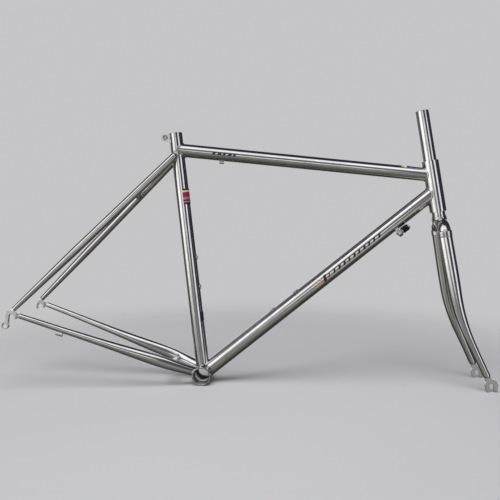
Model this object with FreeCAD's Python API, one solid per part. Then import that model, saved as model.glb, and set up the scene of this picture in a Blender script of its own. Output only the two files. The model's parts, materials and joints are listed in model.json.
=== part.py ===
import FreeCAD, Part
import math
import os
from FreeCAD import Vector, Placement, Rotation

# Road bicycle frame and fork in thin-walled polished steel tube.
# Millimetres. X points forward, Y to the rider's left, Z up.
# The origin is the centre of the bottom bracket shell, and both axles are at one height.

# Frame geometry
CHAINSTAY_LENGTH = 409.0        # bottom bracket centre to rear axle
BRACKET_DROP = 77.5             # axle line above the bottom bracket centre
WHEELBASE = 1004.5              # rear axle to front axle
SEAT_ANGLE = 75.5               # seat tube from the horizontal
HEAD_ANGLE = 72.0               # steering axis from the horizontal
FORK_RAKE = 40.0                # front axle ahead of the steering axis
FORK_SPAN = 373.0               # front axle to head tube, along the steering axis
HEAD_LENGTH = 110.0
SEAT_LENGTH = 522.0             # bottom bracket centre to the seat tube's top
TOP_TUBE_ON_SEAT = 486.0        # where the top tube's axis meets the seat tube's
TOP_TUBE_ON_HEAD = 79.0         # above the head tube's lower end
DOWN_TUBE_ON_HEAD = 45.0        # above the head tube's lower end
DOWN_TUBE_DROP = 1.3            # its axis passes this far under the bracket's centre
STEERER_ABOVE_HEAD = 107.0      # uncut steerer standing out of the head tube

# Tubes: outer and inner radii
SHELL_OUTER = 20.0
SHELL_INNER = 16.85             # minor radius of a 1.37 inch thread
SHELL_WIDTH = 68.0
SEAT_OUTER = 14.3
SEAT_INNER = 13.4
SEAT_REAMED = 13.65             # reamed at the top for a 27.2 mm seat post
REAM_DEPTH = 120.0
TOP_OUTER = 14.3
TOP_INNER = 13.6
DOWN_OUTER = 15.9
DOWN_INNER = 15.1
HEAD_OUTER = 18.2
HEAD_INNER = 17.0
STEERER_OUTER = 14.3
STEERER_INNER = 12.7
STEERER_BASE = 15.0             # thicker foot, which is the 30 mm lower race seat
STAY_WALL = 0.8
CLEAR_RADIUS = 20.0                 # wider than any stay or blade

# Axles
REAR_HALF_SPACING = 65.0        # inner faces 130 mm apart
FRONT_HALF_SPACING = 50.0       # inner faces 100 mm apart
REAR_PLATE = 7.0
FRONT_PLATE = 5.5
REAR_SLOT_RADIUS = 5.0
FRONT_SLOT_RADIUS = 4.6
REAR_SLOT_LEAN = 0.1            # radians forward of straight down
FRONT_SLOT_LEAN = 0.2
HANGER_HOLE = (-12.3, -20.4)    # from the rear axle
HANGER_HOLE_RADIUS = 4.5        # minor radius of M10 x 1
HANGER_RIM_RADIUS = 8.2

# Chainstay sections: x from the bottom bracket, y, half height, half width
CHAINSTAY_SECTIONS = [
    (-376.0, 68.0, 5.2, 4.8), (-345.0, 65.8, 5.9, 5.8), (-290.0, 60.2, 6.6, 6.5),
    (-235.0, 54.4, 7.7, 7.6), (-190.0, 49.6, 9.0, 8.6), (-140.0, 44.6, 11.0, 9.0),
    (-100.0, 40.6, 12.2, 8.2), (-72.0, 36.4, 12.3, 7.8), (-48.0, 30.6, 11.6, 9.2),
    (-28.0, 25.4, 11.1, 10.4), (-8.0, 22.0, 11.0, 10.8)]
CHAINSTAY_FRONT = (-18.0, 7.0)      # a point on the stay's axis, x and z
CHAINSTAY_REAR_LIFT = 1.5           # stay's rear end above the axle line
CHAINSTAY_SOLID_END = 7.0           # unbored length at the dropout

# Seatstay
SEATSTAY_FOOT = (2.0, 68.5, 15.5)   # from the rear axle
SEATSTAY_ON_SEAT = 476.0            # height of its line's top end along the seat tube
SEATSTAY_TOP_Y = 17.0
SEATSTAY_SHORT = 8.0                # its domed end's centre stops this far before
SEATSTAY_FOOT_RADIUS = 5.0
SEATSTAY_RADIUS = 8.0
SEATSTAY_TAPER = 165.0
SEATSTAY_SOLID_END = 6.0            # unbored length at each end
DOME_FLAT_ANGLE = 1.4               # radians round the dome where its small flat begins

# Bridges
BRAKE_BRIDGE_AT = 340.7             # along the seatstay from its foot
BRAKE_BRIDGE_RADIUS = 6.5
SLEEVE_RADIUS = 7.4
SLEEVE_LENGTH = 17.0
CHAIN_BRIDGE_X = -66.0
CHAIN_BRIDGE_RADIUS = 6.0
BRIDGE_WALL = 1.0
BRAKE_BOLT_RADIUS = 3.1

# Seat clamp ears: distance behind the seat tube's axis, distance below its top
EAR_OUTLINE = [
    (12.0, 1.2), (27.5, 0.8), (30.6, 2.4), (31.8, 5.2), (31.8, 9.6), (30.2, 12.2),
    (26.0, 13.6), (20.0, 16.0), (15.5, 19.4), (12.0, 23.0)]
EAR_BOLT = (22.0, 7.5)
EAR_INNER = 1.6                     # half the gap between the ears
EAR_THICKNESS = 5.4
CLAMP_SLOT_LENGTH = 42.0
CLAMP_SLOT_END_RADIUS = 2.4
BINDER_BOLT_RADIUS = 3.0
BINDER_HEAD_RADIUS = 5.0
BINDER_HEAD_HEIGHT = 5.2
BINDER_NUT_HEIGHT = 5.5
BINDER_SOCKET = (5.0, 3.2)          # hexagon across flats, depth
BINDER_EDGE = 0.8

# Bottle cage bosses, along each tube from the bottom bracket
SEAT_BOSSES = (188.0, 252.0)
DOWN_BOSSES = (205.0, 269.0)
BOSS_HOLE_RADIUS = 2.1              # minor radius of M5 x 0.8
BOSS_RADIUS = 4.2
BOSS_FLANGE_RADIUS = 5.6
BOSS_INSIDE = 8.0
BOSS_PROUD = 1.5

# Shift cable stop under the down tube, with two barrel adjusters
STOP_AT = 518.0                     # along the down tube
STOP_LENGTH = 8.0
STOP_DEPTH = 24.4                   # barrel axis below the down tube's axis
# half of the stop's outline: sideways, below the tube's axis
STOP_OUTLINE = [
    (12.4, 13.0), (14.6, 21.0), (14.6, 26.0), (10.2, 31.4), (5.2, 31.4), (1.4, 26.6)]
ADJUSTER_Y = 7.6
ADJUSTER_STEM_RADIUS = 2.5
ADJUSTER_HOLE_RADIUS = 2.55
BARREL_RADIUS = 6.2
BARREL_LENGTH = 15.0
BARREL_GAP = 3.0                    # from the stop's face to the barrel
BARREL_WAIST_RADIUS = 4.4
FERRULE_RADIUS = 4.6
FERRULE_LENGTH = 3.0
HOUSING_SEAT_RADIUS = 2.55          # for 5 mm cable housing
HOUSING_SEAT_DEPTH = 9.0
CABLE_HOLE_RADIUS = 1.1
KNURLS = 18
KNURL_RADIUS = 0.75
RING_RADIUS = 4.8
RING_WIDTH = 1.5
RING_OFF_STOP = 0.6

# Single cable stops
STAY_STOP_X = -302.0
STAY_STOP_Y = 61.6
STAY_SPLAY = 0.105                  # sideways run of the chainstay there, per unit of X
STAY_STOP_DROP = 10.4
STAY_STOP_LENGTH = 14.0
STAY_STOP_RADIUS = 4.1
TOP_STOP_AT = 97.0                  # along the top tube from the seat tube
TOP_STOP_LENGTH = 10.0
TOP_STOP_RADIUS = 3.4
TOP_STOP_DROP = 3.0
STOP_SEAT_RADIUS = 2.6

# Fork
CROWN_TOP = 11.0                    # below the head tube's lower end
CROWN_RACE = 8.0                    # top of the race seat
CROWN_NECK_RADIUS = 16.2
CROWN_LEG = (13.3, 11.0)            # half size fore and aft, half size sideways
CROWN_WEB = 11.0                    # half size fore and aft between neck and legs
CROWN_DEPTH = 20.0                  # more than half its size fore and aft
LEG_END = 41.0                      # where the blades start
COLLAR_END = 53.0
COLLAR = (14.9, 11.1)
COLLAR_LAP = 1.5                    # of the collar over the leg's end
# half of the crown's outline: sideways, below the head tube
CROWN_OUTLINE = [
    (15.4, CROWN_TOP), (18.5, 13.4), (27.0, 18.0), (36.0, 24.5), (41.6, 30.5),
    (44.0, 36.5), (44.0, LEG_END), (21.6, LEG_END), (20.2, 38.6), (16.0, 36.0)]
CROWN_SPACE_TOP = 35.0              # the gap over the tyre
CROWN_SPACE_Y = 16.0
STEERER_FOOT = 33.0                 # below the head tube
CROWN_BOLT_AT = 25.0
BLADE_TOP_Y = 33.0
BLADE_TIP_Y = 52.7
BEND_START = 175.0                  # along the blade, below the head tube
BEND_ANGLE = 15.0
BEND_LENGTH = 101.0
BLADE_TO_AXLE = 21.5                # from the blade's end to the axle
BLADE_TOP_SIZE = (14.2, 10.4)       # half size fore and aft, half size sideways
BLADE_TIP_SIZE = (7.5, 7.3)
BLADE_TAPER = (117.0, 340.0)        # along the blade, below the head tube
BLADE_WALL = 1.0
BLADE_STEPS = 18
VENT_RADIUS = 2.0
BLADE_PLUG = 4.0                    # unbored length at the blade's end
DOME_HEIGHT = 4.2

X_AXIS = Vector(1, 0, 0)
Y_AXIS = Vector(0, 1, 0)
Z_AXIS = Vector(0, 0, 1)
ORIGIN = Vector(0, 0, 0)


def direction(angle, backward):
    """Unit vector in the frame's plane, at an angle above the horizontal."""
    a = math.radians(angle)
    return Vector(-math.cos(a) if backward else math.cos(a), 0, math.sin(a))


def turned_down(axis):
    """The direction a quarter turn clockwise from `axis`, seen from the right side."""
    return Vector(axis.z, 0, -axis.x)


rear_axle = Vector(-math.sqrt(CHAINSTAY_LENGTH ** 2 - BRACKET_DROP ** 2), 0, BRACKET_DROP)
front_axle = rear_axle + X_AXIS * WHEELBASE
seat_up = direction(SEAT_ANGLE, True)
seat_front = turned_down(seat_up)
steer_up = direction(HEAD_ANGLE, True)
steer_front = turned_down(steer_up)
head_low = front_axle - steer_front * FORK_RAKE + steer_up * FORK_SPAN
head_high = head_low + steer_up * HEAD_LENGTH
steerer_top = head_high + steer_up * STEERER_ABOVE_HEAD
seat_top = seat_up * SEAT_LENGTH
top_rear = seat_up * TOP_TUBE_ON_SEAT
top_front = head_low + steer_up * TOP_TUBE_ON_HEAD
top_axis = (top_front - top_rear).normalize()
top_below = turned_down(top_axis)
down_rear = Z_AXIS * -DOWN_TUBE_DROP
down_front = head_low + steer_up * DOWN_TUBE_ON_HEAD
down_axis = (down_front - down_rear).normalize()
down_below = turned_down(down_axis)


def unit(vector):
    return Vector(vector).normalize()


def cylinder(start, end, radius):
    axis = end - start
    return Part.makeCylinder(radius, axis.Length, start, axis)


def tube(start, end, outer, inner):
    """Hollow tube, its bore run a little past both ends."""
    axis = unit(end - start)
    return cylinder(start, end, outer).cut(cylinder(start - axis, end + axis, inner))


def largest(shape):
    """The biggest solid left after a cut."""
    return max(shape.Solids, key=lambda s: s.Volume)


def joined(shapes):
    """Several overlapping solids as one."""
    solid = shapes[0].fuse(shapes[1:]) if len(shapes) > 1 else shapes[0]
    return solid.removeSplitter()


def mirrored(shape):
    """The same shape on the other side of the frame's plane."""
    return shape.mirror(ORIGIN, Y_AXIS)


def frame_at(origin, across, along):
    """Placement with local X on `across` and local Z on `along`."""
    z = unit(along)
    x = unit(across - z * across.dot(z))
    y = z.cross(x)
    matrix = FreeCAD.Matrix(
        x.x, y.x, z.x, origin.x, x.y, y.y, z.y, origin.y, x.z, y.z, z.z, origin.z, 0, 0, 0, 1)
    return Placement(matrix)


def flat_face(corners):
    return Part.Face(Part.makePolygon(corners + [corners[0]]))


def oval(origin, across, along, half_across, half_side):
    """Elliptical wire round `along`; half_across lies on `across`."""
    turn = 0.0 if half_across >= half_side else 90.0
    major = max(half_across, half_side)
    minor = min(half_across, half_side)
    edge = Part.Ellipse(ORIGIN, major, min(minor, major - 1e-4)).toShape()
    wire = Part.Wire([edge])
    place = frame_at(origin, across, along)
    wire.Placement = place.multiply(Placement(ORIGIN, Rotation(Z_AXIS, turn)))
    return wire


def loft(wires):
    solid = Part.makeLoft(wires, True, False)
    if solid.Volume < 0:
        solid.reverse()
    return solid


def swept(points, sizes, across, wall):
    """Outside and bore of a tube through points, with an oval's half sizes at each."""
    outer = []
    inner = []
    last = len(points) - 1
    for i, (point, (a, b)) in enumerate(zip(points, sizes)):
        along = points[min(i + 1, last)] - points[max(i - 1, 0)]
        past = {0: -0.5, last: 0.5}.get(i, 0.0)
        outer.append(oval(point, across, along, a, b))
        inner.append(oval(point + unit(along) * past, across, along, a - wall, b - wall))
    return loft(outer), loft(inner)


def capsule(p, q, thickness, y0):
    """Plate in the XZ plane with two rounded ends joined by their tangents."""
    (px, pz, pr), (qx, qz, qr) = p, q
    plate = Part.makeCylinder(pr, thickness, Vector(px, y0, pz), Y_AXIS)
    plate = plate.fuse(Part.makeCylinder(qr, thickness, Vector(qx, y0, qz), Y_AXIS))
    heading = math.atan2(qz - pz, qx - px)
    lean = math.asin((pr - qr) / math.hypot(qx - px, qz - pz))
    corners = []
    for x, z, r, side in ((px, pz, pr, 1), (qx, qz, qr, 1), (qx, qz, qr, -1), (px, pz, pr, -1)):
        a = heading + side * (math.pi / 2 - lean)
        corners.append(Vector(x + r * math.cos(a), y0, z + r * math.sin(a)))
    return plate.fuse(flat_face(corners).extrude(Y_AXIS * thickness))


def plate_with_slot(capsules, axle, y0, thickness, radius, lean, reach=40.0):
    """Fork end or dropout: a plate of capsules with a slot from the axle downwards."""
    plate = joined([capsule(p, q, thickness, y0) for p, q in capsules])
    end = (math.sin(lean) * reach, -math.cos(lean) * reach, radius)
    plate = largest(plate.cut(capsule((0, 0, radius), end, thickness + 2.0, y0 - 1.0)))
    plate.translate(axle)
    return plate


def circle_edges(shape, centre=None):
    """Circular edges of a shape, or only those about one centre."""
    rims = [e for e in shape.Edges if e.Curve.TypeId == "Part::GeomCircle"]
    if centre is None:
        return rims
    return [e for e in rims if (e.Curve.Center - centre).Length < 0.01]


# Bottom bracket shell
shell_right = Y_AXIS * (-SHELL_WIDTH / 2)
shell_left = Y_AXIS * (SHELL_WIDTH / 2)
shell_body = cylinder(shell_right, shell_left, SHELL_OUTER)
shell = tube(shell_right, shell_left, SHELL_OUTER, SHELL_INNER)
shell = shell.makeChamfer(0.5, circle_edges(shell))

# Main tubes, each mitred to the ones it meets
seat_body = cylinder(ORIGIN, seat_top, SEAT_OUTER)
head_body = cylinder(head_low, head_high, HEAD_OUTER)
down_body = cylinder(down_rear, down_front, DOWN_OUTER)
top_body = cylinder(top_rear, top_front, TOP_OUTER)

head_tube = tube(head_low, head_high, HEAD_OUTER, HEAD_INNER)
head_tube = head_tube.makeChamfer(0.35, circle_edges(head_tube))
top_tube = tube(top_rear, top_front, TOP_OUTER, TOP_INNER)
top_tube = largest(top_tube.cut([seat_body, head_body]))
down_tube = tube(down_rear, down_front, DOWN_OUTER, DOWN_INNER)
down_tube = largest(down_tube.cut([shell_body, seat_body, head_body]))

# The seat tube is split behind its top, so that the clamp can close on the post.
seat_tube = tube(seat_up * 5, seat_top, SEAT_OUTER, SEAT_INNER).cut(shell_body)
ream = cylinder(seat_top - seat_up * REAM_DEPTH, seat_top + seat_up, SEAT_REAMED)
slot_base = seat_up * (SEAT_LENGTH - CLAMP_SLOT_LENGTH)
slot = Part.makeBox(
    2 * SEAT_OUTER, 2 * EAR_INNER, CLAMP_SLOT_LENGTH + 1, Vector(0, -EAR_INNER, 0))
slot.Placement = frame_at(slot_base, -seat_front, seat_up)
slot_end = cylinder(slot_base, slot_base - seat_front * 2 * SEAT_OUTER, CLAMP_SLOT_END_RADIUS)
seat_tube = largest(seat_tube.cut([ream, slot, slot_end]))

# Dropouts: capsules from (x, z, radius) to (x, z, radius), measured from the axle
seatstay_tab = ((-0.5, 10.5, 4.4), (3.6, 17.0, 3.3))
chainstay_tab = ((6.0, 5.0, 4.2), (40.0, -1.4, 3.2))
arch_front = ((6.9, 5.6, 3.0), (8.2, -2.1, 2.3))
left_arch = [
    ((-7.6, 4.0, 2.8), (-6.6, -6.4, 2.5)), ((-7.4, 3.4, 3.0), (-1.2, 9.6, 3.9)),
    ((-1.2, 9.6, 4.1), (6.4, 6.8, 3.6))]
hanger_x, hanger_z = HANGER_HOLE
right_arch = [
    ((-9.8, 1.0, 4.0), (-8.8, 6.6, 4.8)), ((-8.8, 6.6, 4.8), (-1.4, 10.2, 4.6)),
    ((-1.4, 10.2, 4.6), (6.4, 6.8, 3.6))]
hanger = [
    ((-9.8, 1.0, 4.0), (-8.8, -11.0, 3.4)), ((-8.8, -11.0, 3.4), (-10.6, -16.5, 5.6)),
    ((-10.6, -16.5, 5.6), (hanger_x, hanger_z, HANGER_RIM_RADIUS))]
rear_slot = (rear_axle, REAR_HALF_SPACING, REAR_PLATE, REAR_SLOT_RADIUS, REAR_SLOT_LEAN)
tabs = [arch_front, seatstay_tab, chainstay_tab]
left_dropout = plate_with_slot(left_arch + tabs, *rear_slot)
right_dropout = mirrored(plate_with_slot(right_arch + hanger + tabs, *rear_slot))
hanger_at = rear_axle + Vector(hanger_x, 0, hanger_z)
hanger_inside = hanger_at - Y_AXIS * (REAR_HALF_SPACING - 1)
right_dropout = right_dropout.cut(cylinder(
    hanger_inside, hanger_inside - Y_AXIS * (REAR_PLATE + 2), HANGER_HOLE_RADIUS))

# Chainstays: round at the rear, tall and narrow beside the wheel, round at the shell
front_x, front_z = CHAINSTAY_FRONT
rear_x = CHAINSTAY_SECTIONS[0][0]
stay_slope = (front_z - BRACKET_DROP - CHAINSTAY_REAR_LIFT) / (front_x - rear_x)


def on_chainstay(x, y):
    return Vector(x, y, front_z + stay_slope * (x - front_x))


stay_points = [on_chainstay(x, y) for x, y, height, width in CHAINSTAY_SECTIONS]
stay_sizes = [(height, width) for x, y, height, width in CHAINSTAY_SECTIONS]
chainstay_body, chainstay_bore = swept(stay_points, stay_sizes, Z_AXIS, STAY_WALL)
chainstay_plug = cylinder(
    stay_points[0] - X_AXIS, stay_points[0] + X_AXIS * CHAINSTAY_SOLID_END, CLEAR_RADIUS)
chainstay = chainstay_body.cut(chainstay_bore.cut(chainstay_plug))
left_chainstay = largest(chainstay.cut([shell_body, left_dropout]))
right_chainstay = largest(mirrored(chainstay).cut([shell_body, right_dropout]))

# Seatstays: turned about their own axis, tapered at the foot, with a domed top
foot = rear_axle + Vector(*SEATSTAY_FOOT)
stay_up = unit(seat_up * SEATSTAY_ON_SEAT + Y_AXIS * SEATSTAY_TOP_Y - foot)
dome = seat_up * SEATSTAY_ON_SEAT + Y_AXIS * SEATSTAY_TOP_Y - stay_up * SEATSTAY_SHORT
stay_length = (dome - foot).Length


def turned_stay(start, end, thinner, domed):
    """Solid of revolution on the stay's axis, between two distances from its foot."""
    rise = (SEATSTAY_RADIUS - SEATSTAY_FOOT_RADIUS) / SEATSTAY_TAPER
    foot_radius = SEATSTAY_FOOT_RADIUS + rise * start - thinner
    radius = SEATSTAY_RADIUS - thinner
    corners = [
        Vector(0, 0, start), Vector(foot_radius, 0, start), Vector(radius, 0, SEATSTAY_TAPER),
        Vector(radius, 0, end)]
    edges = [Part.LineSegment(a, b).toShape() for a, b in zip(corners, corners[1:])]
    if domed:
        middle, last = [
            Vector(radius * math.cos(a), 0, end + radius * math.sin(a))
            for a in (DOME_FLAT_ANGLE / 2, DOME_FLAT_ANGLE)]
        edges.append(Part.Arc(corners[-1], middle, last).toShape())
        corners.append(last)
    tip = Vector(0, 0, corners[-1].z)
    edges.append(Part.LineSegment(corners[-1], tip).toShape())
    edges.append(Part.LineSegment(tip, corners[0]).toShape())
    solid = Part.Face(Part.Wire(edges)).revolve(ORIGIN, Z_AXIS, 360)
    solid.Placement = frame_at(foot, X_AXIS, stay_up)
    return solid


seatstay_body = turned_stay(0.0, stay_length, 0.0, True)
seatstay = seatstay_body.cut(turned_stay(
    SEATSTAY_SOLID_END, stay_length - SEATSTAY_SOLID_END, STAY_WALL, False))
left_seatstay = largest(seatstay.cut([seat_body, left_dropout]))
right_seatstay = largest(mirrored(seatstay).cut([seat_body, right_dropout]))

# Brake bridge: a tube between the seatstays, in two halves on the bolt's sleeve
bridge_left = foot + stay_up * BRAKE_BRIDGE_AT
bridge_right = Vector(bridge_left.x, -bridge_left.y, bridge_left.z)
bridge_middle = Vector(bridge_left.x, 0, bridge_left.z)
stay_rise = unit(Vector(stay_up.x, 0, stay_up.z))
bridge_facing = Vector(-stay_rise.z, 0, stay_rise.x)
half_sleeve = bridge_facing * (SLEEVE_LENGTH / 2)
sleeve_ends = (bridge_middle - half_sleeve, bridge_middle + half_sleeve)
brake_bridge_sleeve = tube(*sleeve_ends, SLEEVE_RADIUS, BRAKE_BOLT_RADIUS)
brake_bridge = tube(
    bridge_right, bridge_left, BRAKE_BRIDGE_RADIUS, BRAKE_BRIDGE_RADIUS - BRIDGE_WALL)
brake_bridge = brake_bridge.cut(
    [seatstay_body, mirrored(seatstay_body), cylinder(*sleeve_ends, SLEEVE_RADIUS)])

chainstay_bridge = tube(
    on_chainstay(CHAIN_BRIDGE_X, -36), on_chainstay(CHAIN_BRIDGE_X, 36),
    CHAIN_BRIDGE_RADIUS, CHAIN_BRIDGE_RADIUS - BRIDGE_WALL)
chainstay_bridge = largest(chainstay_bridge.cut([chainstay_body, mirrored(chainstay_body)]))


# Seat clamp
def on_seat(behind, below, y):
    return seat_top - seat_up * below - seat_front * behind + Y_AXIS * y


def hexagon_bar(centre, across_flats, depth):
    radius = across_flats / math.sqrt(3)
    corners = []
    for k in range(6):
        a = math.radians(60 * k)
        corners.append(centre + X_AXIS * (radius * math.cos(a)) + Z_AXIS * (radius * math.sin(a)))
    return flat_face(corners).extrude(Y_AXIS * depth)


ears = []
for y0 in (EAR_INNER, -EAR_INNER - EAR_THICKNESS):
    ear = flat_face([on_seat(b, a, y0) for b, a in EAR_OUTLINE]).extrude(Y_AXIS * EAR_THICKNESS)
    bolt_hole = cylinder(on_seat(*EAR_BOLT, -20), on_seat(*EAR_BOLT, 20), BINDER_BOLT_RADIUS + 0.2)
    ears.append(ear.cut([seat_body, bolt_hole]))
seat_clamp_ears = Part.makeCompound(ears)

ear_face = EAR_INNER + EAR_THICKNESS
head_end = on_seat(*EAR_BOLT, -ear_face - BINDER_HEAD_HEIGHT)
nut_end = on_seat(*EAR_BOLT, ear_face + BINDER_NUT_HEIGHT)
bolt_head = cylinder(head_end, on_seat(*EAR_BOLT, -ear_face), BINDER_HEAD_RADIUS)
bolt_head = bolt_head.makeFillet(BINDER_EDGE, circle_edges(bolt_head, head_end))
socket_flats, socket_depth = BINDER_SOCKET
socket = hexagon_bar(head_end - Y_AXIS, socket_flats, socket_depth + 1.0)
shank = cylinder(on_seat(*EAR_BOLT, -ear_face), nut_end - Y_AXIS * 1.5, BINDER_BOLT_RADIUS)
seat_clamp_bolt = bolt_head.fuse(shank).cut(socket)
nut_body = cylinder(on_seat(*EAR_BOLT, ear_face), nut_end, BINDER_HEAD_RADIUS)
nut_body = nut_body.makeFillet(BINDER_EDGE, circle_edges(nut_body, nut_end))
seat_clamp_nut = nut_body.cut(shank)


# Bottle cage bosses
def boss(base, outward, surface):
    """Threaded insert through the tube's wall, with a thin flange outside."""
    inner_end = base + outward * (surface - BOSS_INSIDE)
    rim = base + outward * (surface + BOSS_PROUD)
    body = cylinder(inner_end, rim, BOSS_RADIUS)
    flange = tube(base + outward * (surface - 0.9), rim, BOSS_FLANGE_RADIUS, BOSS_RADIUS - 0.2)
    hole = cylinder(inner_end - outward, rim + outward, BOSS_HOLE_RADIUS)
    return body.fuse(flange).cut(hole)


def bossed(tube_shape, bases, outward, surface):
    """A tube with holes for its bosses, and the bosses fitted to it."""
    holes = [cylinder(base, base + outward * 30, BOSS_RADIUS) for base in bases]
    drilled = tube_shape.cut(holes)
    bosses = [boss(base, outward, surface).cut(drilled) for base in bases]
    return drilled, Part.makeCompound(bosses)


seat_tube, seat_tube_bosses = bossed(
    seat_tube, [seat_up * s for s in SEAT_BOSSES], seat_front, SEAT_OUTER)
down_tube, down_tube_bosses = bossed(
    down_tube, [down_rear + down_axis * s for s in DOWN_BOSSES], -down_below, DOWN_OUTER)

# Shift cable stop and its adjusters
stop_start = down_rear + down_axis * STOP_AT
left_side = [stop_start + down_below * z + Y_AXIS * y for y, z in STOP_OUTLINE]
right_side = [stop_start + down_below * z - Y_AXIS * y for y, z in reversed(STOP_OUTLINE)]
stop_block = flat_face(left_side + right_side).extrude(down_axis * STOP_LENGTH)
adjuster_starts = {
    side: stop_start + down_below * STOP_DEPTH + Y_AXIS * y
    for side, y in (("right", -ADJUSTER_Y), ("left", ADJUSTER_Y))}
stem_holes = [
    cylinder(at - down_axis, at + down_axis * 20, ADJUSTER_HOLE_RADIUS)
    for at in adjuster_starts.values()]
down_tube_cable_stop = largest(stop_block.cut([down_body] + stem_holes))


def adjuster_barrel(at):
    """Knurled barrel with a threaded stem through the stop, bored for the cable."""
    face = at + down_axis * (STOP_LENGTH + BARREL_GAP)
    end = face + down_axis * BARREL_LENGTH
    tip = end + down_axis * FERRULE_LENGTH
    shoulder = face + down_axis * 1.2
    stem = cylinder(at - down_axis * 1.5, face, ADJUSTER_STEM_RADIUS)
    waist = cylinder(face - down_axis * 0.6, shoulder, BARREL_WAIST_RADIUS)
    knob = cylinder(shoulder, end, BARREL_RADIUS)
    grooves = []
    for k in range(KNURLS):
        turn = Rotation(down_axis, 360.0 / KNURLS * k)
        spoke = turn.multVec(down_below) * (BARREL_RADIUS + KNURL_RADIUS / 2)
        grooves.append(cylinder(face + spoke, end + spoke + down_axis, KNURL_RADIUS))
    ferrule = cylinder(end, tip, FERRULE_RADIUS)
    barrel = joined([stem, waist, knob.cut(grooves), ferrule])
    seat = cylinder(
        tip - down_axis * HOUSING_SEAT_DEPTH, tip + down_axis, HOUSING_SEAT_RADIUS)
    return barrel.cut([seat, cylinder(at - down_axis * 5, tip, CABLE_HOLE_RADIUS)])


def adjuster_ring(at):
    """Thin lock ring on the stem, between the stop and the barrel."""
    start = at + down_axis * (STOP_LENGTH + RING_OFF_STOP)
    return tube(start, start + down_axis * RING_WIDTH, RING_RADIUS, ADJUSTER_HOLE_RADIUS)


def cable_stop(middle, forward, up, length, radius, saddle, seat_depth):
    """Short barrel on a saddle, with a seat for the housing that comes from behind."""
    back = middle - forward * (length / 2)
    front = middle + forward * (length / 2)
    long_side, high_side = saddle
    foot_block = Part.makeBox(long_side, 4.0, high_side, Vector(-long_side / 2, -2.0, 0))
    foot_block.Placement = frame_at(middle, forward, up)
    seat = cylinder(back - forward, back + forward * seat_depth, STOP_SEAT_RADIUS)
    hole = cylinder(back - forward, front + forward, CABLE_HOLE_RADIUS)
    return cylinder(back, front, radius).fuse(foot_block).cut([seat, hole])


chainstay_cable_stop = cable_stop(
    on_chainstay(STAY_STOP_X, -STAY_STOP_Y) - Z_AXIS * STAY_STOP_DROP,
    unit(Vector(1, STAY_SPLAY, stay_slope)), Z_AXIS,
    STAY_STOP_LENGTH, STAY_STOP_RADIUS, (11.0, 7.0), STAY_STOP_LENGTH - 2.5)
chainstay_cable_stop = largest(chainstay_cable_stop.cut(mirrored(chainstay_body)))

top_tube_cable_stop = cable_stop(
    top_rear + top_axis * TOP_STOP_AT + top_below * (TOP_OUTER + TOP_STOP_DROP),
    top_axis, -top_below, TOP_STOP_LENGTH, TOP_STOP_RADIUS, (10.0, 4.0), TOP_STOP_LENGTH - 2.0)
top_tube_cable_stop = largest(top_tube_cable_stop.cut(top_body))


# Fork
def below_head(distance, ahead=0.0, y=0.0):
    """A point from the head tube's lower end, down the steering axis."""
    return head_low - steer_up * distance + steer_front * ahead + Y_AXIS * y


def blade_path(distance):
    """How far down and ahead the blade has come at a distance along it."""
    bend = math.radians(BEND_ANGLE)
    radius = BEND_LENGTH / bend
    turned = min(max(distance - BEND_START, 0.0), BEND_LENGTH) / radius
    before = min(distance, BEND_START)
    after = max(distance - BEND_START - BEND_LENGTH, 0.0)
    down = before + radius * math.sin(turned) + after * math.cos(bend)
    ahead = radius * (1 - math.cos(turned)) + after * math.sin(bend)
    return down, ahead


bend_end_down = blade_path(BEND_START + BEND_LENGTH)[0]
last_straight = (FORK_SPAN - bend_end_down) / math.cos(math.radians(BEND_ANGLE))
blade_to_axle = BEND_START + BEND_LENGTH + last_straight
blade_stop = blade_to_axle - BLADE_TO_AXLE
# what the bend leaves of the rake is shared out evenly below the bend's start
rake_left = FORK_RAKE - blade_path(blade_to_axle)[1]


def blade_point(distance):
    down, ahead = blade_path(distance)
    share = max(0.0, distance - BEND_START) / (blade_to_axle - BEND_START)
    spread = max(0.0, distance - COLLAR_END) / (blade_stop - COLLAR_END)
    y = BLADE_TOP_Y + (BLADE_TIP_Y - BLADE_TOP_Y) * spread
    return below_head(down, ahead + rake_left * share, y)


def blade_size(distance):
    start, end = BLADE_TAPER
    t = min(max((distance - start) / (end - start), 0.0), 1.0)
    t = (1 - math.cos(math.pi * t)) / 2
    return [a + (b - a) * t for a, b in zip(BLADE_TOP_SIZE, BLADE_TIP_SIZE)]


steps = [LEG_END + (blade_stop - LEG_END) * i / BLADE_STEPS for i in range(BLADE_STEPS + 1)]
blade_points = [blade_point(d) for d in steps]
blade_body, blade_bore = swept(
    blade_points, [blade_size(d) for d in steps], steer_front, BLADE_WALL)
blade_end = blade_points[-1]
blade_tail = unit(blade_points[-1] - blade_points[-2])

# Fork ends: a rounded eye round the slot, with a tab up into the blade
tab_x = blade_end.x - front_axle.x
tab_z = blade_end.z - front_axle.z
left_fork_dropout = plate_with_slot(
    [((-1.0, 1.5, 12.2), (1.6, 1.2, 12.2)), ((-7.4, -1.0, 4.4), (-5.6, -10.4, 3.6)),
     ((9.0, -1.0, 4.2), (9.4, -6.4, 3.6)),
     ((tab_x * 0.5, tab_z * 0.5, 6.6), (tab_x * 1.75, tab_z * 1.75, 5.2))],
    front_axle, FRONT_HALF_SPACING, FRONT_PLATE, FRONT_SLOT_RADIUS, FRONT_SLOT_LEAN)
right_fork_dropout = mirrored(left_fork_dropout)

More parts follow.
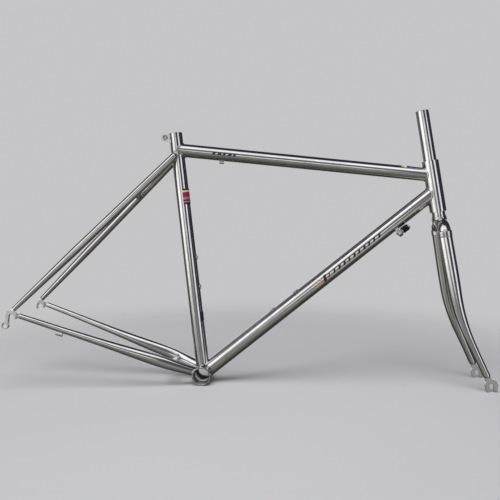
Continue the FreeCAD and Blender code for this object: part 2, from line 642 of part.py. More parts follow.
# Crown: sloping shoulders from the steerer out to two oval legs, with a collar on each
left_outline = [below_head(d, -CROWN_DEPTH, y) for y, d in CROWN_OUTLINE]
right_outline = [below_head(d, -CROWN_DEPTH, -y) for y, d in reversed(CROWN_OUTLINE)]
crown_slab = flat_face(left_outline + right_outline).extrude(steer_front * 2 * CROWN_DEPTH)
crown_space = Part.makeBox(
    2 * CROWN_DEPTH, 2 * CROWN_SPACE_Y, COLLAR_END, Vector(-CROWN_DEPTH, -CROWN_SPACE_Y, 0))
crown_space.Placement = frame_at(
    below_head(CROWN_SPACE_TOP + COLLAR_END), steer_front, steer_up)
crown_foot = below_head(COLLAR_END)
crown_plan = [cylinder(crown_foot, head_low, CROWN_NECK_RADIUS)]
web = Part.makeBox(
    2 * CROWN_WEB, 2 * BLADE_TOP_Y, COLLAR_END, Vector(-CROWN_WEB, -BLADE_TOP_Y, 0))
web.Placement = frame_at(crown_foot, steer_front, steer_up)
crown_plan.append(web)
collars = []
for y in (BLADE_TOP_Y, -BLADE_TOP_Y):
    leg = oval(below_head(COLLAR_END, 0, y), steer_front, steer_up, *CROWN_LEG)
    crown_plan.append(Part.Face(leg).extrude(steer_up * COLLAR_END))
    collar = oval(below_head(COLLAR_END, 0, y), steer_front, steer_up, *COLLAR)
    collars.append(Part.Face(collar).extrude(steer_up * (COLLAR_END - LEG_END + COLLAR_LAP)))
crown_core = largest(crown_slab.common(joined(crown_plan)).cut(crown_space))
bolt_hole = cylinder(
    below_head(CROWN_BOLT_AT, -CROWN_DEPTH), below_head(CROWN_BOLT_AT, CROWN_DEPTH),
    BRAKE_BOLT_RADIUS)
steerer_base = cylinder(below_head(STEERER_FOOT), below_head(CROWN_RACE), STEERER_BASE)
fork_crown = joined([crown_core] + collars)
fork_crown = largest(fork_crown.cut(
    [steerer_base, bolt_hole, blade_body, mirrored(blade_body)]))

# Steerer, with a thicker foot that the crown is brazed to and the lower race sits on
steerer_tube = steerer_base.fuse(cylinder(below_head(CROWN_RACE), steerer_top, STEERER_OUTER))
steerer_bore = cylinder(below_head(STEERER_FOOT + 1), steerer_top + steer_up, STEERER_INNER)
steerer_tube = steerer_tube.cut([steerer_bore, bolt_hole])
steerer_tube = steerer_tube.makeChamfer(0.4, circle_edges(steerer_tube, steerer_top))

# Blades: hollow, closed by a dome over the fork end's tab, with a small vent hole
blade_plug = cylinder(
    blade_end - blade_tail * BLADE_PLUG, blade_end + blade_tail * BLADE_PLUG, CLEAR_RADIUS)
blade_dome = Part.makeSphere(BLADE_TIP_SIZE[1] - 0.1, blade_end)
blade_dome = blade_dome.common(cylinder(
    blade_end - blade_tail, blade_end + blade_tail * DOME_HEIGHT, CLEAR_RADIUS))
vent = cylinder(
    blade_end - Y_AXIS * CLEAR_RADIUS, blade_end + Y_AXIS * CLEAR_RADIUS, VENT_RADIUS)
left_fork_blade = blade_body.cut(blade_bore.cut(blade_plug)).fuse(blade_dome)
left_fork_blade = largest(left_fork_blade.cut([left_fork_dropout, vent]))
right_fork_blade = mirrored(left_fork_blade)

nodes = {
    "bottom_bracket_shell": shell,
    "seat_tube": seat_tube,
    "top_tube": top_tube,
    "down_tube": down_tube,
    "head_tube": head_tube,
    "left_chainstay": left_chainstay,
    "right_chainstay": right_chainstay,
    "left_seatstay": left_seatstay,
    "right_seatstay": right_seatstay,
    "chainstay_bridge": chainstay_bridge,
    "brake_bridge": brake_bridge,
    "brake_bridge_sleeve": brake_bridge_sleeve,
    "left_dropout": left_dropout,
    "right_dropout": right_dropout,
    "seat_clamp_ears": seat_clamp_ears,
    "seat_clamp_bolt": seat_clamp_bolt,
    "seat_clamp_nut": seat_clamp_nut,
    "seat_tube_bosses": seat_tube_bosses,
    "down_tube_bosses": down_tube_bosses,
    "down_tube_cable_stop": down_tube_cable_stop,
    "chainstay_cable_stop": chainstay_cable_stop,
    "top_tube_cable_stop": top_tube_cable_stop,
    "steerer_tube": steerer_tube,
    "fork_crown": fork_crown,
    "left_fork_blade": left_fork_blade,
    "right_fork_blade": right_fork_blade,
    "left_fork_dropout": left_fork_dropout,
    "right_fork_dropout": right_fork_dropout}
for side, at in adjuster_starts.items():
    nodes[side + "_adjuster_barrel"] = adjuster_barrel(at)
    nodes[side + "_adjuster_ring"] = adjuster_ring(at)

os.makedirs("parts", exist_ok=True)
for name, shape in nodes.items():
    shape.exportStep("parts/" + name + ".step")
    print(name, len(shape.Solids), shape.isValid(), round(shape.Volume, 1))
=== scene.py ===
import json
import math

import bmesh
import bpy
import numpy as np
from mathutils import Matrix, Vector
from mathutils.bvhtree import BVHTree


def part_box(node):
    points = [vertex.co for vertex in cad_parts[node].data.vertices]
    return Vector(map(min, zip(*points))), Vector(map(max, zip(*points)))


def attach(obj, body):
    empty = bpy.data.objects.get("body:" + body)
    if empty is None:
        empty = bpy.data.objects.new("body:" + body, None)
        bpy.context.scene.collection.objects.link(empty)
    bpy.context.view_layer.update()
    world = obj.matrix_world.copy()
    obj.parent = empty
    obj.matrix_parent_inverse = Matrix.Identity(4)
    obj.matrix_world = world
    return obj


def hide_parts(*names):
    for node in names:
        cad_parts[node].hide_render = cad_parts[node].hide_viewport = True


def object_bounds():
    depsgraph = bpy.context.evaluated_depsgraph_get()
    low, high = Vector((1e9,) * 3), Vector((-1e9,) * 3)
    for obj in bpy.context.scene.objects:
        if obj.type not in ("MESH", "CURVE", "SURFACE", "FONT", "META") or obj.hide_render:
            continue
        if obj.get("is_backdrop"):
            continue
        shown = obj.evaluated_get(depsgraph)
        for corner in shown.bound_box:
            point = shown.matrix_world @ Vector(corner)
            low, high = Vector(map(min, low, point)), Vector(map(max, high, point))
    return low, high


# Looks of a polished steel bicycle frame and fork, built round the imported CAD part.
# Lengths here are millimetres in the part's own frame; meshes are scaled to metres when made.
# +X is forward, +Y the rider's left, +Z up, and the origin is the bottom bracket's centre.

MM = 0.001

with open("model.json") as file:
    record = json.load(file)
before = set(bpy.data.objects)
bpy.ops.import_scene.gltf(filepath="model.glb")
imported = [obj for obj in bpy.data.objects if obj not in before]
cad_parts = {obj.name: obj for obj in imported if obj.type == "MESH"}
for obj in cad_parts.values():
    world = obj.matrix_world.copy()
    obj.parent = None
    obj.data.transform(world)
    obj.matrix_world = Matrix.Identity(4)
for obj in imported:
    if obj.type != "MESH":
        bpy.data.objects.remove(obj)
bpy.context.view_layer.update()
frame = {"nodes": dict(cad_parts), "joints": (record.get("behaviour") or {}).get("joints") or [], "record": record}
mounts = {m["name"]: m for m in frame["record"]["mounts"]}
joints = {j["name"]: j for j in frame["joints"]}


def unit(vector):
    """A vector made one long."""
    v = np.asarray(vector, float)
    return v / np.linalg.norm(v)


def place_of(entry):
    """A mount's or joint's position in millimetres."""
    return np.array(entry["pos_m"], float) / MM


# Directions and points from the record
X = np.array([1.0, 0.0, 0.0])
Y = np.array([0.0, 1.0, 0.0])
Z = np.array([0.0, 0.0, 1.0])
ORIGIN = np.zeros(3)
SEAT_UP = unit(mounts["seat_post"]["axis"])
SEAT_FRONT = np.cross(Y, SEAT_UP)
STEER_UP = unit(joints["steering"]["axis"])
STEER_FRONT = np.cross(Y, STEER_UP)
HEAD_LOW = place_of(joints["steering"])
DOWN_AXIS = unit(joints["right_adjuster_travel"]["axis"])
DOWN_BELOW = np.cross(Y, DOWN_AXIS)
REAR_AXLE = place_of(mounts["rear_axle_slots"])

# Sizes of the tubes: outer radius, wall
SEAT = (14.3, 0.9)
TOP = (14.3, 0.7)
DOWN = (15.9, 0.8)
HEAD = (18.2, 1.2)
SHELL_RADIUS = 20.0
SHELL_WIDTH = 68.0
HEAD_LENGTH = 110.0
SEAT_LENGTH = 522.0
REAM_DEPTH = 120.0              # how far down the seat tube is reamed, and to what radius
SEAT_REAMED = 13.65
TOP_ON_SEAT = 486.0             # where the top tube's axis meets the seat tube's
TOP_ON_HEAD = 79.0              # and the head tube's, from its lower end
DOWN_DROP = 1.3                 # the down tube's axis below the shell's
DOWN_ON_HEAD = 45.0
STEERER_RADIUS = 14.3
STEERER_BORE = 12.7
STEERER_BASE = 15.0
STEERER_TOP = 217.0             # these three above the head tube's lower end
RACE_TOP = -8.0
STEERER_FOOT = -33.0
TOP_REAR = SEAT_UP * TOP_ON_SEAT
TOP_LINE = HEAD_LOW + STEER_UP * TOP_ON_HEAD - TOP_REAR
TOP_BELOW = np.cross(Y, unit(TOP_LINE))
DOWN_REAR = -Z * DOWN_DROP
DOWN_LENGTH = np.linalg.norm(HEAD_LOW + STEER_UP * DOWN_ON_HEAD - DOWN_REAR)
SEATSTAY_FOOT = REAR_AXLE + np.array([2.0, 68.5, 15.5])
SEATSTAY_HEAD = SEAT_UP * 476.0 + Y * 17.0
SEATSTAY_SIZES = (5.0, 8.0, 165.0)      # radius at the foot, radius above, length of the taper
BRIDGE_RADIUS = (6.5, 6.0)              # brake bridge, chainstay bridge
AROUND = 96                             # points round a tube
BEVEL = 0.3                             # at a tube's open ends
SIDES = (("left", 1), ("right", -1))


def both_sides(point, side):
    """A point or direction on the left side, or its mirror image on the right."""
    return np.asarray(point, float) * (1, side, 1)


def spokes(angles, u, v):
    """Directions at some angles in the plane of u and v."""
    return np.outer(np.cos(angles), u) + np.outer(np.sin(angles), v)


# ---------------------------------------------------------------- meshes

def new_mesh(name, points, faces, uvs=None, sharp=38.0):
    """Mesh in metres from points in millimetres, smooth apart from edges sharper than `sharp`."""
    mesh = bpy.data.meshes.new(name)
    mesh.from_pydata((np.asarray(points, float) * MM).tolist(), [], faces)
    if uvs is not None:
        layer = mesh.uv_layers.new(name="along")
        layer.data.foreach_set("uv", np.asarray(uvs, np.float32).ravel())
    return tidied(mesh, sharp)


def tidied(mesh, sharp=38.0):
    """The mesh with its doubles merged, its faces turned outward and its shading set."""
    work = bmesh.new()
    work.from_mesh(mesh)
    bmesh.ops.remove_doubles(work, verts=work.verts, dist=1e-7)
    bmesh.ops.recalc_face_normals(work, faces=work.faces)
    if work.calc_volume(signed=True) < 0:
        bmesh.ops.reverse_faces(work, faces=work.faces)
    work.to_mesh(mesh)
    work.free()
    mesh.shade_smooth()
    mesh.set_sharp_from_angle(angle=math.radians(sharp))
    return mesh


def skin(name, rings, closed=False, sharp=38.0):
    """Mesh through rings of points, unrolled on its uv map in metres. `closed` joins the last
    ring to the first, as in a hollow tube; otherwise both ends are capped."""
    rings = np.asarray(rings, float)
    count, around = rings.shape[:2]
    steps = np.linalg.norm(np.diff(rings, axis=0), axis=2).mean(axis=1)
    along = np.concatenate([[0.0], np.cumsum(steps)]) * MM
    along = np.append(along, along[-1] + 1e-3)
    girth = np.linalg.norm(rings[0] - np.roll(rings[0], 1, axis=0), axis=1).sum() * MM
    faces = []
    uvs = []
    for i in range(count if closed else count - 1):
        low = i * around
        high = (i + 1) % count * around
        v0, v1 = along[i:i + 2]
        for j in range(around):
            k = (j + 1) % around
            u0, u1 = girth * j / around, girth * (j + 1) / around
            faces.append((low + j, low + k, high + k, high + j))
            uvs += [(u0, v0), (u1, v0), (u1, v1), (u0, v1)]
    if not closed:
        last = (count - 1) * around
        faces.append(tuple(range(around))[::-1])
        faces.append(tuple(range(last, last + around)))
        uvs += [(0.0, 0.0)] * (2 * around)
    return new_mesh(name, rings.reshape(-1, 3), faces, uvs, sharp)


def two_skins(rows, width, rim_rows):
    """Faces of two skins of rows by width points, the outer one first, with rims across both
    ends and, beside the rows in rim_rows, along both edges. The second list has the row and
    column of each face's corners."""
    under = rows * width
    faces = []
    spots = []
    for i in range(rows - 1):
        for j in range(width - 1):
            a, b = i * width + j, (i + 1) * width + j
            faces.append((a, a + 1, b + 1, b))
            faces.append((under + a, under + b, under + b + 1, under + a + 1))
            spots += [(i, j), (i, j + 1), (i + 1, j + 1), (i + 1, j)] * 2
    for i in rim_rows:
        for j in (0, width - 1):
            a, b = i * width + j, (i + 1) * width + j
            faces.append((a, b, under + b, under + a))
            spots += [(i, j)] * 4
    for i in (0, rows - 1):
        for j in range(width - 1):
            a = i * width + j
            faces.append((a, under + a, under + a + 1, a + 1))
            spots += [(i, j)] * 4
    return faces, spots


def run_together(name, meshes):
    """Several meshes copied into one."""
    work = bmesh.new()
    for mesh in meshes:
        work.from_mesh(mesh)
    whole = bpy.data.meshes.new(name)
    work.to_mesh(whole)
    work.free()
    return whole


def in_scene(name, data):
    """A new object, linked into the scene."""
    made = bpy.data.objects.new(name, data)
    bpy.context.scene.collection.objects.link(made)
    return made


def add(name, mesh, body, material, stands_for=()):
    """A piece that rides on a body, and may stand for CAD nodes."""
    piece = in_scene(name, mesh)
    mesh.materials.clear()
    mesh.materials.append(material)
    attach(piece, body)
    if stands_for:
        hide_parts(*stands_for)
    return piece


def finish(node, mesh, material, body="frame"):
    """The finished piece that stands for one CAD node."""
    return add(node + "_finished", mesh, body, material, (node,))


def second_material(piece, material, chosen):
    """Gives another material to the faces whose middle, in millimetres, is chosen."""
    piece.data.materials.append(material)
    for polygon in piece.data.polygons:
        if chosen(np.array(polygon.center) / MM):
            polygon.material_index = 1


def points_of(mesh):
    """A mesh's vertices in millimetres."""
    points = np.zeros(len(mesh.vertices) * 3)
    mesh.vertices.foreach_get("co", points)
    return points.reshape(-1, 3) / MM


def cad_mesh(node):
    return frame["nodes"][node].data


def cad_tree(*nodes):
    return mesh_tree(*[cad_mesh(node) for node in nodes])


def mesh_tree(*meshes):
    """Search tree over the surfaces of meshes, in millimetres."""
    points = []
    faces = []
    for mesh in meshes:
        first = len(points)
        points += [v.co / MM for v in mesh.vertices]
        faces += [[first + v for v in p.vertices] for p in mesh.polygons]
    return BVHTree.FromPolygons(points, faces)


class Bar:
    """A round tube's outside: start, unit axis, radius at a distance along it, and the
    direction in which its angle is zero."""

    def __init__(self, start, axis, radius, zero=Y, around=AROUND):
        self.start = np.asarray(start, float)
        self.axis = unit(axis)
        self.radius = radius if callable(radius) else lambda s: radius + 0.0 * s
        self.u = unit(zero - self.axis * np.dot(zero, self.axis))
        self.v = np.cross(self.axis, self.u)
        self.angles = np.linspace(0, 2 * math.pi, around, endpoint=False)
        self.around = around

    def outward(self):
        return spokes(self.angles, self.u, self.v)

    def at(self, s, thinner=0.0):
        """One ring of points; s and thinner are one number, or one for each angle."""
        s = np.broadcast_to(np.asarray(s, float), self.angles.shape)
        radius = self.radius(s) - thinner
        return self.start + np.outer(s, self.axis) + self.outward() * radius[:, None]


class Loft:
    """An oval tube's outside, measured on a CAD node in planes across a line. It gives rings
    of points as a Bar does."""

    def __init__(self, node, start, end, step=3.0, around=AROUND, reach=30.0):
        tree = cad_tree(node)
        start = np.asarray(start, float)
        self.axis = unit(np.asarray(end, float) - start)
        self.around = around
        self.places = np.arange(0.0, np.linalg.norm(end - start), step)
        u = unit(Y - self.axis * self.axis[1])
        v = np.cross(self.axis, u)
        rays = spokes(np.linspace(0, 2 * math.pi, around, endpoint=False), u, v)
        centres = []
        radii = []
        shift = np.zeros(3)
        for s in self.places:
            centre = start + self.axis * s + shift
            for _ in range(4):
                for side in (u, v):
                    near = inward_hit(tree, centre, side, reach)
                    far = inward_hit(tree, centre, -side, reach)
                    centre = centre + side * (near - far) / 2
            shift = centre - start - self.axis * s
            centres.append(centre)
            radii.append([inward_hit(tree, centre, ray, reach) for ray in rays])
        self.centres = eased(np.array(centres))
        self.rays = rays
        self.radii = eased(rounded(np.array(radii)))
        self.stretch()

    def stretch(self, more=18):
        """Carries the shape on past both ends in a straight line."""
        step = self.places[1] - self.places[0]
        for _ in range(more):
            self.places = np.concatenate(
                [[self.places[0] - step], self.places, [self.places[-1] + step]])
            for name in ("centres", "radii"):
                rows = getattr(self, name)
                first = 2 * rows[:1] - rows[1:2]
                last = 2 * rows[-1:] - rows[-2:-1]
                setattr(self, name, np.concatenate([first, rows, last]))

    def at(self, s, thinner=0.0):
        s = np.broadcast_to(np.asarray(s, float), (self.around,))
        centre = np.stack(
            [np.interp(s, self.places, self.centres[:, k]) for k in range(3)], axis=1)
        radius = np.array(
            [np.interp(s[j], self.places, self.radii[:, j]) for j in range(self.around)])
        return centre + self.rays * (radius - thinner)[:, None]

    def outward(self):
        return self.rays


def inward_hit(tree, centre, ray, reach):
    """Radius at which a ray coming in from outside meets a surface."""
    hit = tree.ray_cast(Vector(centre + ray * reach), Vector(-ray))[0]
    return reach * 0.3 if hit is None else float(np.dot(np.array(hit) - centre, ray))


def rounded(rows, harmonics=6):
    """Rings of radii with only their lowest harmonics kept, so that no facet is left."""
    waves = np.fft.rfft(rows, axis=1)
    waves[:, harmonics + 1:] = 0
    return np.fft.irfft(waves, n=rows.shape[1], axis=1)


def eased(rows, passes=6):
    """Values smoothed along their first axis, with the ends kept."""
    rows = rows.copy()
    for _ in range(passes):
        rows[1:-1] = 0.25 * rows[:-2] + 0.5 * rows[1:-1] + 0.25 * rows[2:]
    return rows


def met(tube, tree, clear, forward, beyond=90.0):
    """How far along each of a tube's lines it meets a surface, and that surface's normals,
    looking from the distance `clear`. Lines that miss it give nan."""
    from_points = tube.at(clear)
    direction = tube.axis if forward else -tube.axis
    distances = np.full(tube.around, np.nan)
    normals = np.zeros((tube.around, 3))
    for j, point in enumerate(from_points):
        hit, normal, _, run = tree.ray_cast(Vector(point), Vector(direction), beyond)
        if hit is not None:
            distances[j] = clear + (run if forward else -run)
            normals[j] = np.array(normal)
    return bridged(distances, normals)


def bridged(distances, normals, most=2):
    """The same values with gaps of up to `most` lines filled from their neighbours."""
    for _ in range(most):
        missing = np.isnan(distances)
        for j in np.flatnonzero(missing):
            before, after = j - 1, (j + 1) % len(distances)
            if missing.sum() <= most or not (missing[before] or missing[after]):
                distances[j] = np.nanmean([distances[before], distances[after]])
                normals[j] = (normals[before] + normals[after]) / 2
    return distances, normals


def smooth_loop(values, passes=2):
    """Values round a closed loop, smoothed."""
    for _ in range(passes):
        values = 0.25 * np.roll(values, 1, axis=0) + 0.5 * values + 0.25 * np.roll(
            values, -1, axis=0)
    return values


def tube_mesh(name, tube, wall, low, high, bite=0.5, rows=56, low_open=False, high_open=False):
    """A hollow tube from low to high, each one number or one for each of its lines. An end
    that isn't open goes `bite` further, into the wall that it meets."""
    low = np.broadcast_to(np.asarray(low, float), (tube.around,)) - (0 if low_open else bite)
    high = np.broadcast_to(np.asarray(high, float), (tube.around,)) + (0 if high_open else bite)

    def ring(share, thinner=0.0):
        nudge = BEVEL * (int(low_open and share == 0) - int(high_open and share == 1))
        return tube.at(low + (high - low) * share + nudge, thinner)

    rings = [tube.at(low, BEVEL)] if low_open else []
    rings += [ring(share) for share in np.linspace(0, 1, rows)]
    if high_open:
        rings += [tube.at(high, BEVEL), tube.at(high, wall - BEVEL)]
    rings += [ring(share, wall) for share in np.linspace(1, 0, 9)]
    if low_open:
        rings.append(tube.at(low, wall - BEVEL))
    return skin(name, rings, closed=True)


def lathe(name, start, axis, profile, around=64, closed=True, shape=None, zero=Y, sharp=38.0):
    """Turned piece: profile is (distance, radius) pairs, and shape(distance, radius, angles)
    multiplies the radius, as for knurls, threads and hexagons."""
    bar = Bar(start, axis, 1.0, zero, around)
    rings = []
    for s, radius in profile:
        factor = np.ones(around) if shape is None else shape(s, radius, bar.angles)
        rings.append(bar.start + s * bar.axis + bar.outward() * (radius * factor)[:, None])
    return skin(name, rings, closed, sharp)


# ---------------------------------------------------------------- welds

WELD_PITCH = 1.7
WELD_DEPTH = 0.035              # of the ripples, over the bead's height
WELD_STEP = 0.42                # between rings of points
WELD_SIZES = {"main": 2.3, "foot": 2.2, "stay": 1.7, "bridge": 1.4}


def weld_mesh(name, points, normals_a, normals_b, size, closed=True, around=14):
    """A bead of fused metal along a joint: an oval roll of small overlapping ripples.
    size is its half width across the corner."""
    points = np.asarray(points, float)
    count = len(points)
    if closed:
        tangents = np.roll(points, -1, axis=0) - np.roll(points, 1, axis=0)
        gaps = np.linalg.norm(np.roll(points, -1, axis=0) - points, axis=1)
    else:
        tangents = np.gradient(points, axis=0)
        gaps = np.linalg.norm(np.diff(points, axis=0, append=points[-1:]), axis=1)
    total = gaps.sum()
    steps = max(48, int(total / WELD_STEP))
    walked = np.concatenate([[0.0], np.cumsum(gaps)])
    targets = np.linspace(0, total, steps, endpoint=not closed)
    ripples = max(8, round(total / WELD_PITCH))

    def resampled(rows):
        rows = np.concatenate([rows, rows[:1]]) if closed else rows
        places = walked if closed else walked[:count]
        return np.stack([np.interp(targets, places, rows[:, k]) for k in range(3)], axis=1)

    centres = resampled(points)
    along = resampled(tangents)
    side_a = resampled(normals_a)
    side_b = resampled(normals_b)
    rings = []
    for i in range(steps):
        t = unit(along[i])
        a = unit(side_a[i] - t * np.dot(side_a[i], t))
        b = unit(side_b[i] - t * np.dot(side_b[i], t))
        out = unit(a + b)
        side = np.cross(t, out)
        opening = math.acos(np.clip(np.dot(a, b), -0.95, 0.95))
        lift = size * (0.42 + 0.16 * math.sin(opening))
        taper = 1.0 if closed else math.sin(math.pi * (i + 0.5) / steps) ** 0.4
        ring = []
        for k in range(around):
            angle = 2 * math.pi * k / around
            lag = 0.55 * math.cos(angle)
            ripple = 1 + WELD_DEPTH * math.sin(2 * math.pi * ripples * i / steps + 2.4 * lag)
            ring.append(
                centres[i] + side * (size * taper * math.sin(angle))
                + out * (lift * taper * ripple * math.cos(angle)))
        rings.append(ring)
    return skin(name, rings, closed, sharp=70.0)


def weld(name, tube, distances, normals, size):
    """Bead where a tube's lines meet a surface, all round or over the lines that meet it."""
    found = ~np.isnan(distances)
    joint = tube.at(np.nan_to_num(distances))
    outward = tube.outward()
    closed = bool(found.all())
    if not closed:
        first = next(j for j in range(tube.around) if found[j] and not found[j - 1])
        order = [j % tube.around for j in range(first, first + tube.around)]
        order = [j for j in order if found[j]]
        joint, outward, normals = joint[order], outward[order], normals[order]
    else:
        joint, normals = smooth_loop(joint), smooth_loop(normals, 6)
    mesh = weld_mesh(name, joint, outward, normals, WELD_SIZES[size], closed)
    add(name, mesh, "frame", steel_weld)


# ---------------------------------------------------------------- materials

class Graph:
    """Short calls for building a node graph."""

    def __init__(self, tree):
        self.tree = tree

    def node(self, kind, settings=None, **inputs):
        made = self.tree.nodes.new(kind)
        for key, value in (settings or {}).items():
            setattr(made, key, value)
        for key, value in inputs.items():
            socket = made.inputs[int(key[1:])] if key[0] == "_" else made.inputs[key]
            self.put(socket, value)
        return made

    def put(self, socket, value):
        if isinstance(value, bpy.types.NodeSocket):
            self.tree.links.new(value, socket)
        else:
            socket.default_value = value

    def math(self, operation, a, b=0.0):
        return self.node("ShaderNodeMath", {"operation": operation}, _0=a, _1=b).outputs[0]

    def ramp(self, value, low, high, out_low, out_high):
        made = self.node(
            "ShaderNodeMapRange", {"interpolation_type": "SMOOTHSTEP"}, _0=value, _1=low, _2=high,
            _3=out_low, _4=out_high)
        return made.outputs[0]

    def noise(self, vector, scale, detail):
        made = self.node(
            "ShaderNodeTexNoise", None, Vector=vector, Scale=scale, Detail=detail,
            Roughness=0.55)
        return made.outputs[0]

    def blend(self, share, a, b):
        made = self.node("ShaderNodeMix", {"data_type": "RGBA"}, _0=share, _6=a, _7=b)
        return made.outputs[2]


def start_material(name, **settings):
    """A new material, its graph and its shader, with the shader's constant settings."""
    material = bpy.data.materials.new(name)
    material.use_nodes = True
    graph = Graph(material.node_tree)
    shader = material.node_tree.nodes["Principled BSDF"]
    for key, value in settings.items():
        shader.inputs[key.replace("_", " ")].default_value = value
    return material, graph, shader


def stretched(graph, coordinate, scale=(1, 1, 1)):
    """A texture coordinate scaled differently along each axis."""
    source = graph.node("ShaderNodeTexCoord").outputs[coordinate]
    return graph.node("ShaderNodeMapping", None, Vector=source, Scale=scale).outputs[0]


def steel(name, light, dark, smooth, rough, lines, line_height, coordinate="UV"):
    """Bare stainless steel: hazy patches left by the polishing wheel, and fine lines.
    smooth and rough are the roughness range; lines the (across, along) scale of the lines."""
    material, graph, shader = start_material(name, Metallic=1.0)
    haze = graph.noise(stretched(graph, "Object"), 38.0, 4.0)
    depth = lines[1] if coordinate == "UV" else lines[0]
    grain = graph.noise(stretched(graph, coordinate, (lines[0], lines[1], depth)), 1.0, 2.0)
    share = graph.ramp(haze, 0.35, 0.68, 0.0, 1.0)
    graph.put(shader.inputs["Base Color"], graph.blend(share, light, dark))
    mixed = graph.math(
        "ADD", graph.math("MULTIPLY", haze, 0.6), graph.math("MULTIPLY", grain, 0.4))
    graph.put(shader.inputs["Roughness"], graph.ramp(mixed, 0.35, 0.65, smooth, rough))
    bump = graph.node("ShaderNodeBump", None, Height=grain, Strength=1.0, Distance=line_height)
    graph.put(shader.inputs["Normal"], bump.outputs[0])
    return material


def anodised(name):
    """Dark dyed aluminium, worn paler where it has been handled."""
    material, graph, shader = start_material(name, Metallic=1.0)
    wear = graph.noise(stretched(graph, "Object"), 420.0, 5.0)
    share = graph.ramp(wear, 0.6, 0.78, 0.0, 1.0)
    colour = graph.blend(share, (0.028, 0.028, 0.045, 1), (0.11, 0.11, 0.14, 1))
    graph.put(shader.inputs["Base Color"], colour)
    graph.put(shader.inputs["Roughness"], graph.ramp(wear, 0.3, 0.7, 0.26, 0.42))
    return material


def printed(name, colour, worn):
    """Printed film under clear lacquer, a little uneven in colour."""
    material, graph, shader = start_material(
        name, Roughness=0.45, Specular_IOR_Level=0.3, Coat_Weight=0.12, Coat_Roughness=0.1)
    speckle = graph.noise(stretched(graph, "Object"), 900.0, 4.0)
    share = graph.ramp(speckle, 0.45, 0.75, 0.0, 1.0)
    graph.put(shader.inputs["Base Color"], graph.blend(share, colour, worn))
    return material


steel_polished = steel(
    "polished_tube_steel", (0.70, 0.695, 0.68, 1), (0.62, 0.61, 0.60, 1),
    0.075, 0.15, (2600.0, 60.0), 4e-7)
steel_cast = steel(
    "polished_cast_steel", (0.68, 0.675, 0.665, 1), (0.58, 0.575, 0.57, 1),
    0.12, 0.22, (420.0, 420.0), 2e-6, "Object")
steel_satin = steel(
    "satin_steel", (0.93, 0.925, 0.92, 1), (0.84, 0.835, 0.83, 1),
    0.18, 0.27, (520.0, 520.0), 2.5e-6, "Object")
steel_weld = steel(
    "weld_steel", (0.66, 0.65, 0.63, 1), (0.54, 0.53, 0.51, 1),
    0.14, 0.26, (700.0, 700.0), 2e-6, "Object")
steel_turned = steel(
    "turned_steel", (0.60, 0.595, 0.585, 1), (0.48, 0.475, 0.47, 1),
    0.2, 0.34, (60.0, 5200.0), 1.5e-6)
steel_threads = steel(
    "tapped_steel", (0.46, 0.455, 0.45, 1), (0.34, 0.335, 0.33, 1),
    0.28, 0.45, (900.0, 900.0), 3e-6, "Object")
barrel_black = anodised("dark_anodised")
film_cream = printed("cream_film", (0.80, 0.70, 0.48, 1), (0.66, 0.56, 0.38, 1))
film_dark = printed("dark_film", (0.03, 0.022, 0.035, 1), (0.07, 0.055, 0.07, 1))
film_red = printed("red_film", (0.27, 0.016, 0.06, 1), (0.42, 0.09, 0.17, 1))
film_rose = printed("rose_film", (0.50, 0.20, 0.28, 1), (0.40, 0.13, 0.20, 1))
film_blue = printed("blue_film", (0.035, 0.06, 0.24, 1), (0.07, 0.10, 0.32, 1))
film_gold = printed("gold_film", (0.74, 0.36, 0.09, 1), (0.62, 0.26, 0.06, 1))


# ---------------------------------------------------------------- main tubes

seat_bar = Bar(ORIGIN, SEAT_UP, SEAT[0], -SEAT_FRONT)
top_bar = Bar(TOP_REAR, TOP_LINE, TOP[0])
down_bar = Bar(DOWN_REAR, DOWN_AXIS, DOWN[0])
head_bar = Bar(HEAD_LOW, STEER_UP, HEAD[0])


def straight_tube(name, bar, wall, rear_mates, front_mates, length):
    """A main tube between two joints, with a weld round each end."""
    middle = length / 2
    low, low_normals = met(bar, cad_tree(*rear_mates), middle, False, length)
    high, high_normals = met(bar, cad_tree(*front_mates), middle, True, length)
    mesh = tube_mesh(name, bar, wall, smooth_loop(low), smooth_loop(high))
    finish(name, mesh, steel_polished)
    weld(f"weld_{name}_rear", bar, low, low_normals, "main")
    weld(f"weld_{name}_front", bar, high, high_normals, "main")


straight_tube(
    "top_tube", top_bar, TOP[1], ["seat_tube"], ["head_tube"], np.linalg.norm(TOP_LINE))
straight_tube(
    "down_tube", down_bar, DOWN[1], ["bottom_bracket_shell", "seat_tube"], ["head_tube"],
    DOWN_LENGTH)
finish(
    "head_tube",
    tube_mesh("head_tube", head_bar, HEAD[1], 0.0, HEAD_LENGTH, low_open=True, high_open=True),
    steel_polished)


